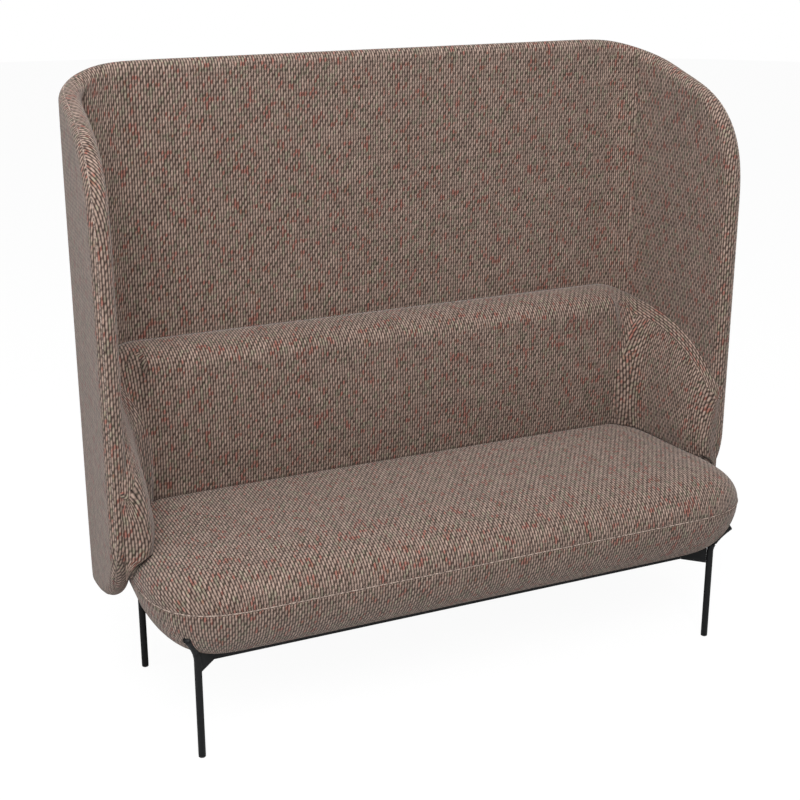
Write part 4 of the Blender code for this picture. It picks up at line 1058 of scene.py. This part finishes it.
class SofaSettings(bpy.types.PropertyGroup):
    """Sizes and colours of the sofa's upholstery, frame and floor"""
    seat_puff: bpy.props.FloatProperty(
        name="Seat swell", description="Extra height in the middle of the seat",
        default=0.004, min=0.0, max=0.02, unit="LENGTH")
    shell_puff: bpy.props.FloatProperty(
        name="Shell swell", description="How far the shell's padded faces stand out in their middle",
        default=0.001, min=0.0, max=0.01, unit="LENGTH")
    seam_depth: bpy.props.FloatProperty(
        name="Seam depth", description="Depth of the groove at the shell's rim seam",
        default=0.0012, min=0.0, max=0.005, unit="LENGTH")
    seam_width: bpy.props.FloatProperty(
        name="Seam width", description="Width of the raised line in the rim seam",
        default=0.0028, min=0.0005, max=0.01, unit="LENGTH")
    column_pitch: bpy.props.FloatProperty(
        name="Column pitch", description="Width of one column of yarn",
        default=0.0063, min=0.001, max=0.02, unit="LENGTH")
    float_length: bpy.props.FloatProperty(
        name="Float length", description="Length of one yarn float along its column",
        default=0.00915, min=0.001, max=0.03, unit="LENGTH")
    float_lean: bpy.props.FloatProperty(
        name="Float lean", description="How far a float leans across its column",
        default=0.6, min=-1.0, max=1.0, subtype="FACTOR")
    float_contrast: bpy.props.FloatProperty(
        name="Float contrast", description="Difference between light and dark floats",
        default=0.40, min=0.0, max=1.0, subtype="FACTOR")
    row_contrast: bpy.props.FloatProperty(
        name="Row contrast", description="How much lighter a float's ends are than its middle",
        default=0.20, min=0.0, max=1.0, subtype="FACTOR")
    float_spread: bpy.props.FloatProperty(
        name="Float spread", description="Random difference in lightness from float to float",
        default=0.36, min=0.0, max=1.0, subtype="FACTOR")
    gap_width: bpy.props.FloatProperty(
        name="Gap width", description="Width of the dark gaps between columns, as an exponent",
        default=1.5, min=0.2, max=4.0)
    light_yarn: bpy.props.FloatVectorProperty(
        name="Light yarn", description="Colour of the light floats",
        default=(0.53, 0.388, 0.318), min=0.0, max=1.0, size=3, subtype="COLOR")
    dark_yarn: bpy.props.FloatVectorProperty(
        name="Dark yarn", description="Colour of the dark floats",
        default=(0.060, 0.034, 0.026), min=0.0, max=1.0, size=3, subtype="COLOR")
    # Colour of the painted shade in the gaps between the columns.
    gap_shade_colour: bpy.props.FloatVectorProperty(
        name="Gap shade", description="Colour between the columns",
        default=(0.012, 0.007, 0.006), min=0.0, max=1.0, size=3, subtype="COLOR")
    rust_yarn: bpy.props.FloatVectorProperty(
        name="Rust threads", description="Tint of the rust-red threads",
        default=(0.72, 0.34, 0.31), min=0.0, max=1.0, size=3, subtype="COLOR")
    sage_yarn: bpy.props.FloatVectorProperty(
        name="Sage threads", description="Tint of the grey-green threads",
        default=(0.80, 0.96, 0.86), min=0.0, max=1.0, size=3, subtype="COLOR")
    steel_colour: bpy.props.FloatVectorProperty(
        name="Steel", description="Colour of the powder-coated steel",
        default=(0.0055, 0.0060, 0.0068), min=0.0, max=1.0, size=3, subtype="COLOR")
    floor_colour: bpy.props.FloatVectorProperty(
        name="Floor", description="Colour of the studio floor",
        default=(0.60, 0.60, 0.60), min=0.0, max=1.0, size=3, subtype="COLOR")


def settle(piece, *nodes, slot="fabric"):
    """Ride a finished piece on the sofa's one body and hide the CAD nodes that it stands for."""
    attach(piece, "root")
    if nodes:
        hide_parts(*nodes)


class SOFA_OT_shell(bpy.types.Operator):
    """Upholster the high shell inside and outside, and lay the seams of its rim and its corners"""
    bl_idname = "sofa.shell"
    bl_label = "Upholster shell"

    def execute(self, context):
        fabric = shared("woven_fabric", woven_fabric)
        yarn = shared("seam_yarn", seam_yarn)
        inside = finish(shell_cover("shell_inner_upholstery", -1), fabric)
        settle(inside, "shell_inner_cover", "shell_inner_foam")
        outside = finish(shell_cover("shell_outer_upholstery", 1), fabric)
        settle(outside, "shell_outer_cover", "shell_outer_foam")
        settle(finish(shell_seam("shell_rim_seam"), yarn))
        for side, side_name in ((-1, "left"), (1, "right")):
            settle(finish(crease_seam("shell_crease_seam_" + side_name, side), yarn))
        return {"FINISHED"}


class SOFA_OT_seat(bpy.types.Operator):
    """Upholster the seat above and below its seam, and lay the welt"""
    bl_idname = "sofa.seat"
    bl_label = "Upholster seat"

    def execute(self, context):
        fabric = shared("woven_fabric", woven_fabric)
        top = finish(seat_top("seat_top_upholstery"), fabric)
        settle(top, "seat_top_cover", "seat_foam")
        lower = finish(seat_lower("seat_lower_upholstery"), fabric)
        settle(lower, "seat_lower_cover")
        settle(finish(seat_welt("seat_welt"), shared("seam_yarn", seam_yarn)), "seat_piping")
        return {"FINISHED"}


class SOFA_OT_pad(bpy.types.Operator):
    """Upholster the low back and arms"""
    bl_idname = "sofa.pad"
    bl_label = "Upholster low back"

    def execute(self, context):
        fabric = shared("woven_fabric", woven_fabric)
        pad = finish(pad_cover("low_back_upholstery"), fabric)
        settle(pad, "pad_cover", "pad_foam", "pad_liner")
        return {"FINISHED"}


class SOFA_OT_frame(bpy.types.Operator):
    """Make the rod legs and give every part of the CAD frame its material"""
    bl_idname = "sofa.frame"
    bl_label = "Build steel frame"

    def execute(self, context):
        steel = shared("powder_steel", powder_steel)
        for name, side, way in corners():
            leg = finish(rod("rod_" + name, side, way), steel)
            settle(leg, "leg_" + name, slot="steel")
        finishes = {
            "glide": shared("moulded_plastic", moulded_plastic),
            "steel": steel,
            "plywood": shared("birch_plywood", birch_plywood),
            "lining": shared("bonded_lining", bonded_lining),
            "zinc": shared("zinc_plate", zinc_plate),
            "fabric": shared("woven_fabric", woven_fabric),
        }
        kinds = {"glide": "glide", "rail": "steel", "corner": "steel", "crossbar": "steel",
                 "shell_bracket": "steel", "leg": "steel", "shell_core": "plywood",
                 "seat_board": "plywood", "seat_dust_cover": "lining", "pad_liner": "lining",
                 "seat_screw": "zinc", "shell_screw": "zinc"}
        for name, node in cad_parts.items():
            kind = next((kinds[start] for start in kinds if name.startswith(start)), "fabric")
            finish(node, finishes[kind])
        return {"FINISHED"}


class SOFA_OT_stage(bpy.types.Operator):
    """Set the pale floor, soft lights, white surroundings and camera"""
    bl_idname = "sofa.stage"
    bl_label = "Set stage"

    def execute(self, context):
        scene = context.scene
        scene.view_settings.view_transform = "Standard"
        build_floor()
        build_lights()
        build_world()
        build_camera()
        return {"FINISHED"}


def build_floor():
    """A wide round floor. It mixes plain paper, which keeps the sofa's shadow, with white that only
    the camera sees, so that its far rim hardly shows."""
    radii = np.linspace(0, 1, FLOOR_RINGS) ** 2 * FLOOR_RADIUS
    turn = np.linspace(2 * math.pi, 0, FLOOR_SIDES, endpoint=False)
    ring = np.stack((np.cos(turn), np.sin(turn)), axis=1)
    floor = ring_piece("studio_floor", lift(radii[:, None, None] * ring, 0.0))
    n = Nodes("studio_floor")
    paper = n.noise(n.object_point(), 300.0, 3.0, seed=1.0)
    shade = tuple(c * 0.985 for c in settings().floor_colour)
    n.paint(n.mix(paper, shade, tuple(settings().floor_colour)))
    n.fix(Roughness=0.9, Specular_IOR_Level=0.1)
    glow = n.tree.nodes.new("ShaderNodeEmission")
    glow.inputs["Color"].default_value = (1.0, 1.0, 1.0, 1.0)
    glow.inputs["Strength"].default_value = 1.10
    seen = n.tree.nodes.new("ShaderNodeLightPath")
    blend = n.tree.nodes.new("ShaderNodeMixShader")
    n.set(blend.inputs["Fac"], n.math("MULTIPLY", seen.outputs["Is Camera Ray"], 0.86))
    n.set(blend.inputs[1], n.shader.outputs[0])
    n.set(blend.inputs[2], glow.outputs[0])
    n.set(n.output.inputs["Surface"], blend.outputs[0])
    finish(floor, n.material)


def add_light(name, spot, target, size, watts, colour=(1.0, 1.0, 1.0)):
    """A rectangular soft light that faces its target."""
    data = bpy.data.lights.new(name, "AREA")
    data.shape = "RECTANGLE"
    data.size, data.size_y = size
    data.energy = watts
    data.color = colour
    lamp = bpy.data.objects.new(name, data)
    lamp.location = spot
    lamp.rotation_euler = (Vector(target) - Vector(spot)).to_track_quat("-Z", "Y").to_euler()
    bpy.context.scene.collection.objects.link(lamp)


def build_lights():
    """A soft key light high before the sofa, one above it and a cool, weak one on its left."""
    add_light("key_light", (-1.6, -3.2, 3.6), (0.0, 0.0, 0.7), (3.0, 2.2), 185.0)
    add_light("top_light", (0.3, -0.4, 4.2), (0.0, 0.0, 0.5), (3.2, 3.0), 75.0)
    add_light("left_light", (-4.2, -0.6, 2.0), (0.0, 0.0, 0.7), (2.4, 2.4), 38.0, (0.94, 0.97, 1.0))


def build_world():
    """White surroundings: soft light for the sofa, and plain white for what the camera sees."""
    world = bpy.data.worlds.new("studio")
    world.use_nodes = True
    bpy.context.scene.world = world
    tree = world.node_tree
    back = tree.nodes["Background"]
    back.inputs["Color"].default_value = (1.0, 1.0, 1.0, 1.0)
    path = tree.nodes.new("ShaderNodeLightPath")
    shown = tree.nodes.new("ShaderNodeMath")
    shown.operation = "MAXIMUM"
    tree.links.new(path.outputs["Is Camera Ray"], shown.inputs[0])
    tree.links.new(path.outputs["Is Transmission Ray"], shown.inputs[1])
    level = tree.nodes.new("ShaderNodeMapRange")
    tree.links.new(shown.outputs[0], level.inputs["Value"])
    level.inputs["To Min"].default_value = 0.26
    level.inputs["To Max"].default_value = 1.0
    tree.links.new(level.outputs["Result"], back.inputs["Strength"])


def build_camera():
    """The photograph's viewpoint."""
    data = bpy.data.cameras.new("photo_camera")
    data.sensor_width = 36.0
    data.lens = 67.37
    data.clip_end = 100.0
    camera = bpy.data.objects.new("photo_camera", data)
    camera.location = (-1.4433, -2.9230, 1.7395)
    camera.rotation_euler = (math.radians(71.282), 0.0, math.radians(-25.113))
    bpy.context.scene.collection.objects.link(camera)
    bpy.context.scene.camera = camera


class SOFA_PT_sofa(bpy.types.Panel):
    """Lists the sofa's settings and the steps that build it"""
    bl_idname = "SOFA_PT_sofa"
    bl_label = "High-backed sofa"
    bl_space_type = "VIEW_3D"
    bl_region_type = "UI"
    bl_category = "Sofa"

    def draw(self, context):
        column = self.layout.column()
        for name in SofaSettings.__annotations__:
            column.prop(context.scene.sofa, name)
        for step in STEPS:
            column.operator(step.bl_idname)


STEPS = (SOFA_OT_shell, SOFA_OT_seat, SOFA_OT_pad, SOFA_OT_frame, SOFA_OT_stage)
CLASSES = (SofaSettings, *STEPS, SOFA_PT_sofa)


def register():
    for item in CLASSES:
        bpy.utils.register_class(item)
    bpy.types.Scene.sofa = bpy.props.PointerProperty(type=SofaSettings)


def unregister():
    del bpy.types.Scene.sofa
    for item in reversed(CLASSES):
        bpy.utils.unregister_class(item)


def main():
    """Build the sofa step by step."""
    register()
    bpy.ops.sofa.shell()
    bpy.ops.sofa.seat()
    bpy.ops.sofa.pad()
    bpy.ops.sofa.frame()
    bpy.ops.sofa.stage()


if __name__ == "__main__":
    main()
